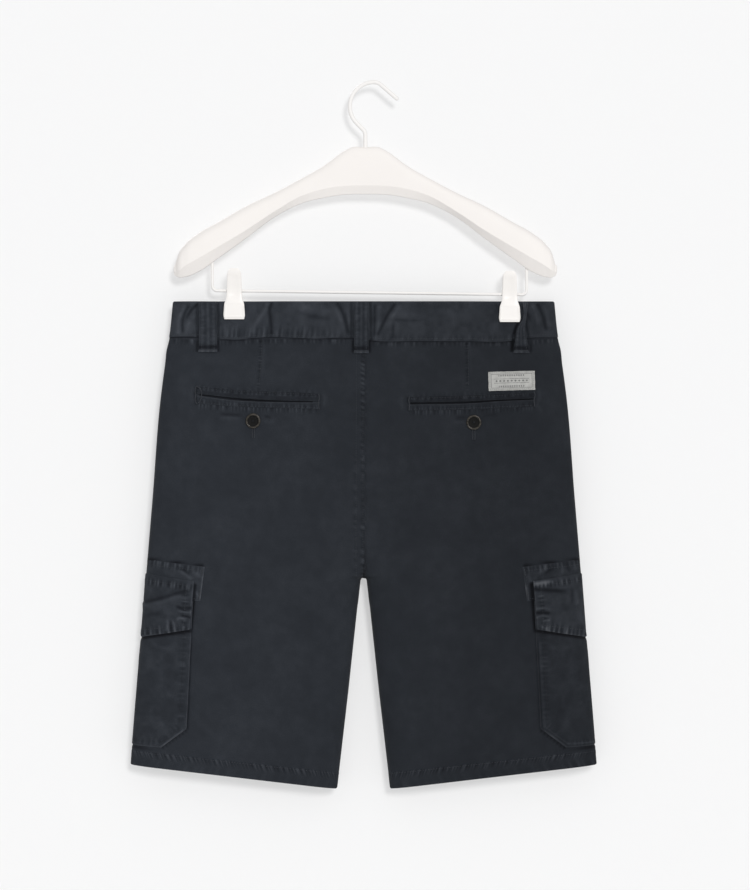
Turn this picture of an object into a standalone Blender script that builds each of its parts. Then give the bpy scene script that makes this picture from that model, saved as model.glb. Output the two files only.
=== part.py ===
"""Cargo shorts hung flat by the waistband from a clip hanger, back side towards -Y.

Units are metres, +Z is up. The origin is the inside of the hook's crown, where the hanger rests on its
rail. Garment sizes are given as a drop below the top edge of the waistband and a distance from the
centre line. "left" is the -X side and "right" the +X side. The back of the garment faces -Y.
"""

import math

import bmesh
import bpy
from mathutils import Vector

# ---- where the two assemblies hang, below the hook's crown ----
GARMENT_TOP = Vector((-0.0120, 0.0, -0.2520))  # centre of the waistband's top edge
HANGER_TOP = Vector((-0.0100, 0.0, -0.0740))  # top of the hanger body, where the hook goes in

# ---- cloth ----
SEAM_GAP = 0.0003
PANEL_WALL = 0.0013
BAND_WALL = 0.0022  # waistband: outer cloth, stiffener and inner cloth
BAND_PROUD = 0.0005  # how far the waistband's face stands out from the panels
PATCH_WALL = 0.0010
LOOP_WALL = 0.0016
BAND_HEIGHT = 0.0430
BACK = -1
FRONT = 1

# ---- outline of the flat garment: one row for each drop ----
# (drop, half width, half depth)
OUTLINE = (
    (0.000, 0.2210, 0.0080),
    (0.043, 0.2250, 0.0088),
    (0.105, 0.2345, 0.0125),
    (0.230, 0.2449, 0.0160),
    (0.369, 0.2565, 0.0160),
    (0.537, 0.2695, 0.0150),
    (0.580, 0.2730, 0.0148),
)
CROTCH_DROP = 0.3200
CROTCH_RISE = 0.0700  # height over which the body tube parts into two legs
HEM_DROP_SIDE = 0.5370
HEM_DROP_INSEAM = 0.5650
# (drop below the crotch, distance of the inseam from the centre line)
INSEAM = (
    (0.000, 0.00015),
    (0.002, 0.0024),
    (0.007, 0.0040),
    (0.035, 0.0075),
    (0.132, 0.0179),
    (0.245, 0.0310),
)
SIDE_FOLD = 0.0360  # width over which a side rounds from the flat panel to the seam
INSEAM_FOLD = 0.0300
FOLD_STEPS = 4  # facets in each rounded fold
FLAT_STEPS = 10  # facets across the flat of a panel

# ---- clips and the waist they pinch ----
# (name, distance from the garment's centre line, reach below the waistband's top edge)
CLIPS = (
    ("left", -0.1500, 0.0208),
    ("right", 0.1694, 0.0240),
)
PINCH_DEPTH = 0.0026  # half depth of the waistband between the jaws
PINCH_FLAT = 0.0160
PINCH_FADE_ACROSS = 0.0450
PINCH_FADE_START = 0.0240
PINCH_FADE_DOWN = 0.0800

# ---- colours, roughness and metallic value of each finish, colours linear ----
FINISHES = {
    "twill": ((0.0262, 0.0300, 0.0360), 0.85, 0.0),
    "horn": ((0.0160, 0.0145, 0.0120), 0.30, 0.0),
    "woven": ((0.3700, 0.3700, 0.3500), 0.80, 0.0),
    "shell": ((0.9300, 0.9100, 0.8800), 0.35, 0.0),
}

# ---- pieces sewn onto the panels ----
FLY_EDGE = 0.0015  # the lapped edge, just past the centre line
FLY_WIDTH = 0.0370
FLY_STRAIGHT_DROP = 0.1700
FLY_ROUND_DROP = 0.0450
WAIST_BUTTON_IN = 0.0150  # from the lapped edge
LOOP_TOP = 0.0015
# Belt loops: (name, face, (left, right) edge at the top, the same at the bottom, bottom drop)
BELT_LOOPS = (
    ("belt_loop_back_left", BACK, (-0.1916, -0.1706), (-0.1916, -0.1696), 0.0590),
    ("belt_loop_back_centre", BACK, (-0.0108, 0.0064), (-0.0112, 0.0061), 0.0606),
    ("belt_loop_back_right", BACK, (0.1888, 0.1965), (0.1735, 0.1928), 0.0606),
    ("belt_loop_front_left", FRONT, (-0.0960, -0.0770), (-0.0960, -0.0770), 0.0600),
    ("belt_loop_front_right", FRONT, (0.0770, 0.0960), (0.0770, 0.0960), 0.0600),
)
# Welt pockets on the back: (side, top edge, slit, bottom edge), each as its two ends (x, drop)
WELT_POCKETS = (
    (
        "left",
        ((-0.1936, 0.0970), (-0.0496, 0.1075)),
        ((-0.1936, 0.1080), (-0.0496, 0.1166)),
        ((-0.1936, 0.1188), (-0.0496, 0.1258)),
    ),
    (
        "right",
        ((0.0497, 0.1110), (0.1994, 0.1062)),
        ((0.0497, 0.1181), (0.1994, 0.1128)),
        ((0.0497, 0.1272), (0.1994, 0.1225)),
    ),
)
BUTTONS = (("back_button_left", -0.1280, 0.1384), ("back_button_right", 0.1274, 0.1409))
# A button from the cloth up over its rim to the sunk centre: (radius, height above the cloth)
BUTTON_PROFILE = (
    (0.0066, 0.0000),
    (0.0084, 0.0009),
    (0.0088, 0.0019),
    (0.0078, 0.0027),
    (0.0062, 0.0024),
    (0.0053, 0.0014),
)
LABEL_CENTRE = (0.1714, 0.0924)
LABEL_SIZE = (0.0538, 0.0220)
LABEL_WALL = 0.0008
LABEL_TILT = math.radians(1.5)
# The cargo pocket's pieces: drop at the side seam, then x and drop at the edge, for the top and bottom
CARGO_FACING = ((0.2990, 0.1838, 0.3075), (0.3440, 0.1889, 0.3470))
CARGO_FLAP = ((0.3150, 0.1962, 0.3237), (0.3890, 0.2009, 0.3798))
CARGO_BAG_TOP = (0.3500, 0.1975, 0.3510)
CARGO_BAG_CORNER = (0.4940, 0.2045, 0.4930)
CARGO_BAG_END = (0.5140, 0.2340, 0.5165)
PATCH_LIFT = 0.0005
BAG_LIFT = 0.0013
BAG_FULLNESS = 0.0020  # how much further the empty bag stands off the leg at its middle
FLAP_LIFT = 0.0024
FLAP_EDGE_RISE = 0.0006
FLAP_MIDDLE_RISE = 0.0016

# ---- the hanger ----
# Sections of one arm: (distance from the centre, top, widest line, underside, half depth), heights from
# the hanger's top
ARM = (
    (0.0000, 0.0000, -0.0441, -0.0534, 0.0080),
    (0.0160, 0.0000, -0.0441, -0.0535, 0.0080),
    (0.0250, -0.0045, -0.0446, -0.0540, 0.0081),
    (0.0477, -0.0208, -0.0480, -0.0575, 0.0086),
    (0.0750, -0.0363, -0.0566, -0.0645, 0.0094),
    (0.1050, -0.0522, -0.0740, -0.0798, 0.0106),
    (0.1390, -0.0684, -0.0965, -0.1050, 0.0121),
    (0.1700, -0.0862, -0.1150, -0.1272, 0.0132),
    (0.1940, -0.0998, -0.1290, -0.1436, 0.0134),
    (0.2090, -0.1122, -0.1375, -0.1494, 0.0118),
    (0.2170, -0.1240, -0.1430, -0.1499, 0.0082),
    (0.2205, -0.1360, -0.1440, -0.1480, 0.0035),
)
# Half of a section, from the top round to the underside: (share of the half depth, share of the way down
# from the top to the widest line, share of the way on to the underside)
SECTION = (
    (0.40, 0.00, 0.0),
    (0.80, 0.18, 0.0),
    (0.95, 0.50, 0.0),
    (1.00, 1.00, 0.0),
    (0.72, 1.00, 0.6),
    (0.35, 1.00, 1.0),
)
HOOK_WIRE = 0.0048
HOOK_RADIUS = 0.0280  # to the middle of the wire
HOOK_MOUTH_BEND = 0.0120
HOOK_MOUTH_TURN = 41.0  # degrees
HOOK_TIP_RUN = 0.0270
HOOK_BACK_ANGLE = 225.0
HOOK_FOOT_BEND = 0.0100
BAR_WIRE = 0.0035
BAR_BEND = 0.0055
# Ends of the trouser bar from the hanger's centre line: (x, height of the bar, height of the leg's top)
BAR_ENDS = ((-0.1775, -0.1655, -0.1338), (0.1872, -0.1702, -0.1404))
# A clip half, from the top of its lever to the jaw: (drop, half width, inner face, thickness)
CLIP_HALF = (
    (0.0000, 0.0040, 0.0088, 0.0018),
    (0.0014, 0.0062, 0.0086, 0.0022),
    (0.0050, 0.0078, 0.0082, 0.0024),
    (0.0240, 0.0086, 0.0034, 0.0028),
    (0.0290, 0.0088, 0.0028, 0.0030),
    (0.0350, 0.0093, 0.0034, 0.0032),
    (0.0420, 0.0126, 0.0037, 0.0034),
    (0.0550, 0.0128, 0.0037, 0.0034),
    (0.0590, 0.0114, 0.0040, 0.0026),
)


def between(table, value, column):
    """The table's column at this value of its first column, on straight lines from row to row."""
    for low, high in zip(table, table[1:]):
        if value <= high[0]:
            break
    share = (value - low[0]) / (high[0] - low[0])
    return low[column] + share * (high[column] - low[column])


def ease(share):
    """0 to 1 with level ends."""
    share = min(max(share, 0.0), 1.0)
    return share * share * (3 - 2 * share)


def half_width(drop):
    return between(OUTLINE, drop, 1)


def inseam(drop):
    return between(INSEAM, drop - CROTCH_DROP, 1) if drop > CROTCH_DROP else INSEAM[0][1]


def rounding(distance, width):
    """A quarter ellipse: 0 at an edge, 1 at the width of its fold."""
    away = 1 - min(max(distance / width, 0.0), 1.0)
    return math.sqrt(1 - away * away)


def pinch(x, drop):
    """How much of the clips' squeeze is felt here, from 0 to 1."""
    down = 1 - ease((drop - PINCH_FADE_START) / PINCH_FADE_DOWN)
    across = max(1 - ease((abs(x - centre) - PINCH_FLAT) / PINCH_FADE_ACROSS) for _, centre, _ in CLIPS)
    return down * across


def depth(x, drop):
    """Half depth of the garment's outer face at this place."""
    full = between(OUTLINE, drop, 2)
    full -= (full - PINCH_DEPTH) * pinch(x, drop)
    open_share = rounding(CROTCH_DROP - drop, CROTCH_RISE) if drop < CROTCH_DROP else 0.0
    inner = open_share + (1 - open_share) * rounding(abs(x) - inseam(drop), INSEAM_FOLD)
    return full * inner * rounding(half_width(drop) - abs(x), SIDE_FOLD)


def skin(x, drop, face, lift=0.0):
    """A point on the garment's outer face, moved out along its normal by lift.

    At the side seams and the inseams the normal is level and points out of the fold."""
    step = 1e-7
    inward = -math.copysign(step, abs(x) - (half_width(drop) + inseam(drop)) / 2)
    side = math.copysign(1.0, x)
    here = depth(x, drop)
    across = (depth(x + side * inward, drop) - here) / (side * inward)
    down = (depth(x, drop - step) - here) / step
    normal = Vector((-across, face, -down)).normalized()
    return Vector((x, face * (SEAM_GAP / 2 + here), -drop)) + lift * normal


# ---- mesh makers ----
def add_object(name, mesh, parent, finish):
    obj = bpy.data.objects.new(name, mesh)
    bpy.context.scene.collection.objects.link(obj)
    obj.parent = parent
    colour, roughness, metallic = FINISHES[finish]
    material = bpy.data.materials.new(name + "_" + finish)
    material.use_nodes = True
    shader = material.node_tree.nodes["Principled BSDF"]
    shader.inputs["Base Color"].default_value = (*colour, 1.0)
    shader.inputs["Roughness"].default_value = roughness
    shader.inputs["Metallic"].default_value = metallic
    mesh.materials.append(material)
    return obj


def closed_mesh(name, points, faces):
    mesh = bpy.data.meshes.new(name)
    mesh.from_pydata(points, [], faces)
    shape = bmesh.new()
    shape.from_mesh(mesh)
    bmesh.ops.recalc_face_normals(shape, faces=shape.faces)
    shape.to_mesh(mesh)
    shape.free()
    return mesh


def wall(name, outer, inner, parent, finish):
    """A closed cloth wall between two grids of points, each a list of rows of the same length."""
    rows = len(outer)
    columns = len(outer[0])
    points = [point for grid in (outer, inner) for row in grid for point in row]
    behind = rows * columns
    faces = []
    for r in range(rows - 1):
        for c in range(columns - 1):
            a = r * columns + c
            quad = (a, a + 1, a + columns + 1, a + columns)
            faces.append(quad)
            faces.append(tuple(behind + corner for corner in reversed(quad)))
    top = list(range(columns))
    right = [r * columns + columns - 1 for r in range(1, rows)]
    bottom = [(rows - 1) * columns + c for c in range(columns - 2, -1, -1)]
    left = [r * columns for r in range(rows - 2, 0, -1)]
    rim = top + right + bottom + left
    for a, b in zip(rim, rim[1:] + rim[:1]):
        faces.append((b, a, a + behind, b + behind))
    return add_object(name, closed_mesh(name, points, faces), parent, finish)


def loft(name, rings, parent, finish):
    """A closed solid through rings of points, its ends closed flat."""
    size = len(rings[0])
    points = [point for ring in rings for point in ring]
    faces = [tuple(range(size)), tuple(range(len(points) - 1, len(points) - size - 1, -1))]
    for r in range(len(rings) - 1):
        for c in range(size):
            a = r * size + c
            b = r * size + (c + 1) % size
            faces.append((a, b, b + size, a + size))
    return add_object(name, closed_mesh(name, points, faces), parent, finish)


def wire(name, route, diameter, parent, finish):
    """A round wire along a route of points, with closed ends."""
    curve = bpy.data.curves.new(name, "CURVE")
    curve.dimensions = "3D"
    curve.bevel_depth = diameter / 2
    curve.bevel_resolution = 2
    curve.use_fill_caps = True
    spline = curve.splines.new("POLY")
    spline.points.add(len(route) - 1)
    for point, place in zip(spline.points, route):
        point.co = (*place, 1.0)
    return add_object(name, curve, parent, finish)


def arc(centre, radius, start, end, steps):
    """Points on an arc in the XZ plane, angles in degrees from +X towards +Z."""
    turn = [math.radians(start + (end - start) * k / steps) for k in range(steps + 1)]
    return [Vector((centre[0] + radius * math.cos(a), 0.0, centre[1] + radius * math.sin(a))) for a in turn]


# ---- the cut pieces of the shorts ----
def fold_steps(width):
    """Distances from an edge, spaced evenly round its fold."""
    return [width * (1 - math.cos(math.pi / 2 * k / FOLD_STEPS)) for k in range(FOLD_STEPS + 1)]


def make_panel(name, side, face, parent):
    """Half of the back or of the front, from the waist seam to the hem of one leg."""
    upper = [0.062, 0.084, 0.105, 0.145, 0.190]
    crotch_steps = 4
    crotch = [
        CROTCH_DROP - CROTCH_RISE * (1 - math.sin(math.pi / 2 * k / crotch_steps))
        for k in range(crotch_steps + 1)
    ]
    leg = [0.322, 0.327, 0.345, 0.380, 0.430, 0.475, 0.520, HEM_DROP_INSEAM]
    outer, inner = [], []
    for level in [BAND_HEIGHT + SEAM_GAP] + upper + crotch + leg:
        share = max(level - CROTCH_DROP, 0.0) / (HEM_DROP_INSEAM - CROTCH_DROP)
        side_drop = level - share * (HEM_DROP_INSEAM - HEM_DROP_SIDE)
        low = inseam(level)
        high = half_width(side_drop)
        flat = high - low - INSEAM_FOLD - SIDE_FOLD
        across = [low + d for d in fold_steps(INSEAM_FOLD)]
        across += [low + INSEAM_FOLD + flat * k / FLAT_STEPS for k in range(1, FLAT_STEPS)]
        across += [high - d for d in reversed(fold_steps(SIDE_FOLD))]
        drops = [side_drop + (level - side_drop) * (high - x) / (high - low) for x in across]
        outer.append([skin(side * x, drop, face) for x, drop in zip(across, drops)])
        inner.append([skin(side * x, drop, face, -PANEL_WALL) for x, drop in zip(across, drops)])
    return wall(name, outer, inner, parent, "twill")


def make_waistband(name, start, end, face, parent):
    """A stretch of waistband between two distances from the centre line, or its whole face."""
    rows = 3
    step = 0.0100
    outer, inner = [], []
    for r in range(rows + 1):
        drop = BAND_HEIGHT * r / rows
        half = half_width(drop)
        low = -half if start is None else start
        high = half if end is None else end
        left = [low + d for d in fold_steps(SIDE_FOLD)] if start is None else [low]
        right = [high - d for d in reversed(fold_steps(SIDE_FOLD))] if end is None else [high]
        count = round((half_width(0.0) - SIDE_FOLD) * (2 if start is end is None else 1) / step)
        gap = (right[0] - left[-1]) / count
        across = left + [left[-1] + gap * k for k in range(1, count)] + right
        outer.append([skin(x, drop, face, BAND_PROUD) for x in across])
        inner.append([skin(x, drop, face, BAND_PROUD - BAND_WALL) for x in across])
    return wall(name, outer, inner, parent, "twill")


def make_patch(name, corners, face, lift, parent, finish="twill", columns=6, rows=2, thickness=PATCH_WALL):
    """A flat piece sewn onto a panel. Corners are (x, drop), clockwise from the top left."""
    top_left, top_right, bottom_right, bottom_left = (Vector(corner) for corner in corners)
    outer, inner = [], []
    for r in range(rows + 1):
        start = top_left.lerp(bottom_left, r / rows)
        end = top_right.lerp(bottom_right, r / rows)
        line = [start.lerp(end, c / columns) for c in range(columns + 1)]
        inner.append([skin(x, drop, face, lift) for x, drop in line])
        outer.append([skin(x, drop, face, lift + thickness) for x, drop in line])
    return wall(name, outer, inner, parent, finish)


def make_wrapped_patch(name, side, edges, height, parent):
    """A piece sewn round the side seam, the same on the back and the front.

    Each row of edges gives the drop at the seam, then x and drop at the piece's edge. height(down, along)
    is how far its inner face stands off the leg, with down from 0 at the top to 1 at the bottom, and along
    from 0 at the seam to 1 at the edge."""
    flat_steps = 2
    outer, inner = [], []
    for seam_drop, edge_x, edge_drop in edges:
        down = (seam_drop - edges[0][0]) / (edges[-1][0] - edges[0][0])
        half = half_width(seam_drop)
        fold = [half - d for d in reversed(fold_steps(SIDE_FOLD))]
        if edge_x < fold[0]:
            across = [edge_x + (fold[0] - edge_x) * k / flat_steps for k in range(flat_steps)] + fold
        else:
            last = flat_steps + FOLD_STEPS
            across = [edge_x + (half - edge_x) * k / last for k in range(last + 1)]
        halves = []
        for face in (BACK, FRONT):
            near, far = [], []
            for x in across:
                along = (half - x) / (half - edge_x)
                drop = seam_drop + (edge_drop - seam_drop) * along
                place = side * min(x, half_width(drop))
                near.append(skin(place, drop, face, height(down, along)))
                far.append(skin(place, drop, face, height(down, along) + PATCH_WALL))
            halves.append((near, far))
        for grid, layer in ((inner, 0), (outer, 1)):
            back, front = halves[0][layer], halves[1][layer]
            grid.append(back[:-1] + [(back[-1] + front[-1]) / 2] + front[-2::-1])
    return wall(name, outer, inner, parent, "twill")


def rows_between(start, end, count):
    """Rows from start to end, evenly spaced."""
    return [tuple(a + (b - a) * k / count for a, b in zip(start, end)) for k in range(count + 1)]


def make_cargo_pocket(side_name, side, parent):
    """The facing that shows above the flap, the empty bag with its lower corners cut off, and the flap."""
    facing = rows_between(*CARGO_FACING, 2)
    bag = rows_between(CARGO_BAG_TOP, CARGO_BAG_CORNER, 6)
    bag += rows_between(CARGO_BAG_CORNER, CARGO_BAG_END, 2)[1:]
    flap = rows_between(*CARGO_FLAP, 4)

    def facing_height(down, along):
        return PATCH_LIFT

    def bag_height(down, along):
        return BAG_LIFT + BAG_FULLNESS * math.sin(math.pi * down) * math.sqrt(1 - along)

    def flap_height(down, along):
        return FLAP_LIFT + down * (FLAP_EDGE_RISE + FLAP_MIDDLE_RISE * math.sqrt(1 - along))

    make_wrapped_patch("cargo_facing_" + side_name, side, facing, facing_height, parent)
    make_wrapped_patch("cargo_bag_" + side_name, side, bag, bag_height, parent)
    make_wrapped_patch("cargo_flap_" + side_name, side, flap, flap_height, parent)


def make_belt_loop(name, top, bottom, drops, face, parent):
    """A folded strip, sewn down at both ends and standing a little off the waistband between them.

    top and bottom are its left and right edge at those drops."""
    rows = 8
    end_lift = 0.0010
    rise = 0.0022
    outer, inner = [], []
    for r in range(rows + 1):
        down = r / rows
        drop = drops[0] + (drops[1] - drops[0]) * down
        low = top[0] + (bottom[0] - top[0]) * down
        high = top[1] + (bottom[1] - top[1]) * down
        lift = end_lift + rise * math.sin(math.pi * down) ** 0.6
        line = [low + (high - low) * c / 3 for c in range(4)]
        inner.append([skin(x, drop, face, lift) for x in line])
        outer.append([skin(x, drop, face, lift + LOOP_WALL) for x in line])
    return wall(name, outer, inner, parent, "twill")


def make_button(name, x, drop, face, lift, parent):
    """A turned button with a raised rim round a sunk centre, lying on the cloth."""
    sides = 20
    turns = [2 * math.pi * k / sides for k in range(sides)]
    seat = skin(x, drop, face, lift)
    rings = []
    for radius, height in BUTTON_PROFILE:
        rings.append(
            [
                seat + Vector((radius * math.cos(a), face * height, radius * math.sin(a)))
                for a in turns
            ]
        )
    return loft(name, rings, parent, "horn")


def make_fly(name, parent):
    """The lapped fly on the front, its free edge just past the centre line and its lower end rounded."""
    columns, rows = 8, 6
    outer, inner = [], []
    for r in range(rows + 1):
        row_outer, row_inner = [], []
        for c in range(columns + 1):
            share = math.sin(math.pi / 2 * c / columns)  # 0 at the free edge
            x = FLY_EDGE - FLY_WIDTH * share
            end = FLY_STRAIGHT_DROP + FLY_ROUND_DROP * math.sqrt(1 - share * share)
            start = BAND_HEIGHT + 2 * SEAM_GAP
            drop = start + (end - start) * r / rows
            row_inner.append(skin(x, drop, FRONT, PATCH_LIFT))
            row_outer.append(skin(x, drop, FRONT, PATCH_LIFT + PATCH_WALL))
        outer.append(row_outer)
        inner.append(row_inner)
    return wall(name, outer, inner, parent, "twill")


def make_hanger_body(parent):
    stations = [(-row[0], *row[1:]) for row in reversed(ARM[1:])] + list(ARM)
    rings = []
    for x, top, widest, low, half in stations:
        right = [
            (half * across, top + (widest - top) * down + (low - widest) * under)
            for across, down, under in SECTION
        ]
        ring = right + [(-y, z) for y, z in reversed(right)]
        rings.append([Vector((x, y, z)) for y, z in ring])
    return loft("hanger_body", rings, parent, "shell")


def make_hook(parent):
    """Tip, straight run, bend over the rail, round the back and down into the hanger body."""
    crown = HOOK_WIRE / 2
    middle = (0.0, crown - HOOK_RADIUS)
    bend = arc((0.0, crown - HOOK_MOUTH_BEND), HOOK_MOUTH_BEND, 90 - HOOK_MOUTH_TURN, 90, 4)
    turn = math.radians(HOOK_MOUTH_TURN)
    tip = bend[0] + HOOK_TIP_RUN * Vector((math.cos(turn), 0.0, -math.sin(turn)))
    back = arc(middle, HOOK_RADIUS, 90, HOOK_BACK_ANGLE, 14)[1:]
    heading = math.radians(HOOK_BACK_ANGLE - 180)
    stem = HANGER_TOP.x
    sideways = stem - back[-1].x - HOOK_FOOT_BEND * (1 - math.cos(heading))
    run = Vector((sideways, 0.0, -sideways / math.tan(heading)))
    foot_start = back[-1] + run
    foot_centre = (stem - HOOK_FOOT_BEND, foot_start.z - HOOK_FOOT_BEND * math.sin(heading))
    foot = arc(foot_centre, HOOK_FOOT_BEND, math.degrees(heading), 0, 4)
    end = Vector((stem, 0.0, HANGER_TOP.z + SEAM_GAP))
    return wire("hanger_hook", [tip] + bend + back + foot + [end], HOOK_WIRE, parent, "shell")


def make_bar(parent):
    (left, left_z, left_top), (right, right_z, right_top) = BAR_ENDS
    route = [Vector((left, 0.0, left_top))]
    route += arc((left + BAR_BEND, left_z + BAR_BEND), BAR_BEND, 180, 270, 4)
    route += arc((right - BAR_BEND, right_z + BAR_BEND), BAR_BEND, 270, 360, 4)
    route += [Vector((right, 0.0, right_top))]
    return wire("hanger_bar", route, BAR_WIRE, parent, "shell")


def make_clip_half(name, centre, reach, face, parent):
    length = CLIP_HALF[-1][0]
    rings = []
    for drop, half, inside, thickness in CLIP_HALF:
        z = length - reach - drop
        near = face * inside
        far = face * (inside + thickness)
        rings.append(
            [
                Vector((centre - half, near, z)),
                Vector((centre + half, near, z)),
                Vector((centre + half * 0.92, far, z)),
                Vector((centre - half * 0.92, far, z)),
            ]
        )
    return loft(name, rings, parent, "shell")


def build():
    for obj in list(bpy.data.objects):
        bpy.data.objects.remove(obj, do_unlink=True)
    garment = bpy.data.objects.new("garment", None)
    hanger = bpy.data.objects.new("hanger", None)
    for empty, place in ((garment, GARMENT_TOP), (hanger, HANGER_TOP)):
        empty.location = place
        bpy.context.scene.collection.objects.link(empty)

    for side_name, side in (("left", -1), ("right", 1)):
        make_panel("back_panel_" + side_name, side, BACK, garment)
        make_panel("front_panel_" + side_name, side, FRONT, garment)
        make_cargo_pocket(side_name, side, garment)

    make_waistband("waistband_back", None, None, BACK, garment)
    make_waistband("waistband_front_left", None, FLY_EDGE, FRONT, garment)
    make_waistband("waistband_front_right", FLY_EDGE + SEAM_GAP, None, FRONT, garment)
    make_fly("fly_placket", garment)
    on_band = BAND_PROUD + SEAM_GAP
    make_button("waist_button", FLY_EDGE - WAIST_BUTTON_IN, BAND_HEIGHT / 2, FRONT, on_band, garment)

    for name, face, top, bottom, end in BELT_LOOPS:
        make_belt_loop(name, top, bottom, (LOOP_TOP, end), face, garment)
    for side_name, top, slit, bottom in WELT_POCKETS:
        half_slit = Vector((0.0, SEAM_GAP))
        upper = (top[0], top[1], Vector(slit[1]) - half_slit, Vector(slit[0]) - half_slit)
        lower = (Vector(slit[0]) + half_slit, Vector(slit[1]) + half_slit, bottom[1], bottom[0])
        make_patch("welt_upper_" + side_name, upper, BACK, PATCH_LIFT, garment, columns=8, rows=1)
        make_patch("welt_lower_" + side_name, lower, BACK, PATCH_LIFT, garment, columns=8, rows=1)
    for name, x, drop in BUTTONS:
        make_button(name, x, drop, BACK, PATCH_LIFT, garment)

    along = Vector((math.cos(LABEL_TILT), -math.sin(LABEL_TILT))) * LABEL_SIZE[0] / 2
    down = Vector((math.sin(LABEL_TILT), math.cos(LABEL_TILT))) * LABEL_SIZE[1] / 2
    middle = Vector(LABEL_CENTRE)
    corners = (middle - along - down, middle + along - down, middle + along + down, middle - along + down)
    make_patch("label", corners, BACK, PATCH_LIFT, garment, finish="woven", thickness=LABEL_WALL)

    make_hanger_body(hanger)
    make_bar(hanger)
    make_hook(None)
    for side_name, centre, reach in CLIPS:
        for half_name, face in (("front", BACK), ("rear", FRONT)):
            make_clip_half(f"clip_{side_name}_{half_name}", centre, reach, face, garment)


build()
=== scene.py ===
# %% [markdown]
# # Cargo shorts on a clip hanger
# A pair of washed cotton twill shorts hangs by its waistband from a white plastic hanger, with its
# back towards us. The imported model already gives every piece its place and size, so this lesson only
# gives the pieces their real surface: creased cloth with a thickness, stitches, horn buttons, a woven
# label, and moulded plastic. Everything is in metres, and anything given in millimetres says so.

# %% Load the frame
import math

import bpy
import numpy as np
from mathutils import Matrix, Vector


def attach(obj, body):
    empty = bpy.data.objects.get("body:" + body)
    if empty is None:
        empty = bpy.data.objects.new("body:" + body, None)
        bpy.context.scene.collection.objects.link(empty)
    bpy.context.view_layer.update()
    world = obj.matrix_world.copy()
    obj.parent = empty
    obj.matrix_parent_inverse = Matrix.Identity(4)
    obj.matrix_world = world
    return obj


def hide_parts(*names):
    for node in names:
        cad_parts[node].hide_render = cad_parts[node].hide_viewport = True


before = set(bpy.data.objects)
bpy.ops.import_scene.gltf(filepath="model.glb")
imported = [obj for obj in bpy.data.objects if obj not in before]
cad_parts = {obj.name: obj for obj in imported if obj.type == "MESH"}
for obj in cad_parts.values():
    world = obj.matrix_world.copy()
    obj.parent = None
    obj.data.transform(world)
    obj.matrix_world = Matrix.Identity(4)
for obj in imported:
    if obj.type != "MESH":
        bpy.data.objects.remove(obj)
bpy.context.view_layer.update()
bpy.ops.object.select_all(action="DESELECT")
print("nodes in the frame:", len(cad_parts))

# %% [markdown]
# ## Camera
# The hanger is seen straight on from the middle of its height. A long lens keeps the sides parallel.
# An orthographic camera would do as well, but a real lens still shows a little of the depth.

# %% Camera
bpy.ops.object.camera_add(location=(0.0012, -5.008, -0.4186), rotation=(math.radians(90), 0, 0))
camera = bpy.context.object
camera.name = "camera"
camera.data.lens = 174.6
bpy.context.scene.camera = camera
print("camera looks along +Y from", tuple(round(v, 3) for v in camera.location))

# %% [markdown]
# ## Light
# Plain studio light: a pale surround gives half of it, and a wide soft sun from the upper right gives
# the rest, so that ridges in the cloth have a light side and the shorts leave a faint shadow on the
# wall. A weaker sun behind lights the far side for views from there. The plain view transform keeps
# white plastic white beside very dark cloth.

# %% World and suns
SURROUND = 0.578
KEY_SUN = 1.424
REAR_SUN = 1.3

bpy.context.scene.view_settings.view_transform = "Standard"
world = bpy.data.worlds.new("pale studio")
bpy.context.scene.world = world
world.use_nodes = True
world.node_tree.nodes["Background"].inputs["Color"].default_value = (0.985, 0.99, 1.0, 1.0)
world.node_tree.nodes["Background"].inputs["Strength"].default_value = SURROUND


def add_sun(name, strength, towards, width):
    """A distant lamp that shines along a direction, with an angular width in degrees."""
    bpy.ops.object.light_add(type="SUN")
    sun = bpy.context.object
    sun.name = name
    sun.data.energy = strength
    sun.data.angle = math.radians(width)
    sun.rotation_mode = "QUATERNION"
    sun.rotation_quaternion = Vector(towards).to_track_quat("-Z", "Y")


add_sun("key_sun", KEY_SUN, (-0.22, 1.0, -0.30), 13)
add_sun("rear_sun", REAR_SUN, (0.45, -1.0, -0.55), 24)
print("surround", SURROUND, "key", KEY_SUN, "rear", REAR_SUN)

# %% [markdown]
# ## Wall and floor
# A white wall stands close behind the hanger and takes its shadow. It glows a little, so the shadow is
# faint. It shows only to the camera and only from the front, so that it neither hides the shorts from
# behind nor takes away the light there. The floor is far below.

# %% Wall and floor


def stage_material(name, colour, one_sided, glow=0.0):
    """Matt paint, with some light of its own. A one-sided one lets light through, and can't be seen
    from behind."""
    made = bpy.data.materials.new(name)
    made.use_nodes = True
    nodes, links = made.node_tree.nodes, made.node_tree.links
    nodes.clear()
    output = nodes.new("ShaderNodeOutputMaterial")
    paint = nodes.new("ShaderNodeBsdfDiffuse")
    paint.inputs["Color"].default_value = (*colour, 1)
    if not one_sided:
        links.new(paint.outputs[0], output.inputs["Surface"])
        return made
    clear = nodes.new("ShaderNodeBsdfTransparent")
    side = nodes.new("ShaderNodeNewGeometry")
    ray = nodes.new("ShaderNodeLightPath")
    front = nodes.new("ShaderNodeMath")
    front.operation = "SUBTRACT"
    front.use_clamp = True
    links.new(ray.outputs["Is Camera Ray"], front.inputs[0])
    links.new(side.outputs["Backfacing"], front.inputs[1])
    mix = nodes.new("ShaderNodeMixShader")
    links.new(front.outputs[0], mix.inputs["Fac"])
    links.new(clear.outputs[0], mix.inputs[1])
    lit = nodes.new("ShaderNodeEmission")
    lit.inputs["Strength"].default_value = glow
    both = nodes.new("ShaderNodeAddShader")
    links.new(paint.outputs[0], both.inputs[0])
    links.new(lit.outputs[0], both.inputs[1])
    links.new(both.outputs[0], mix.inputs[2])
    links.new(mix.outputs[0], output.inputs["Surface"])
    return made


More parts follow.
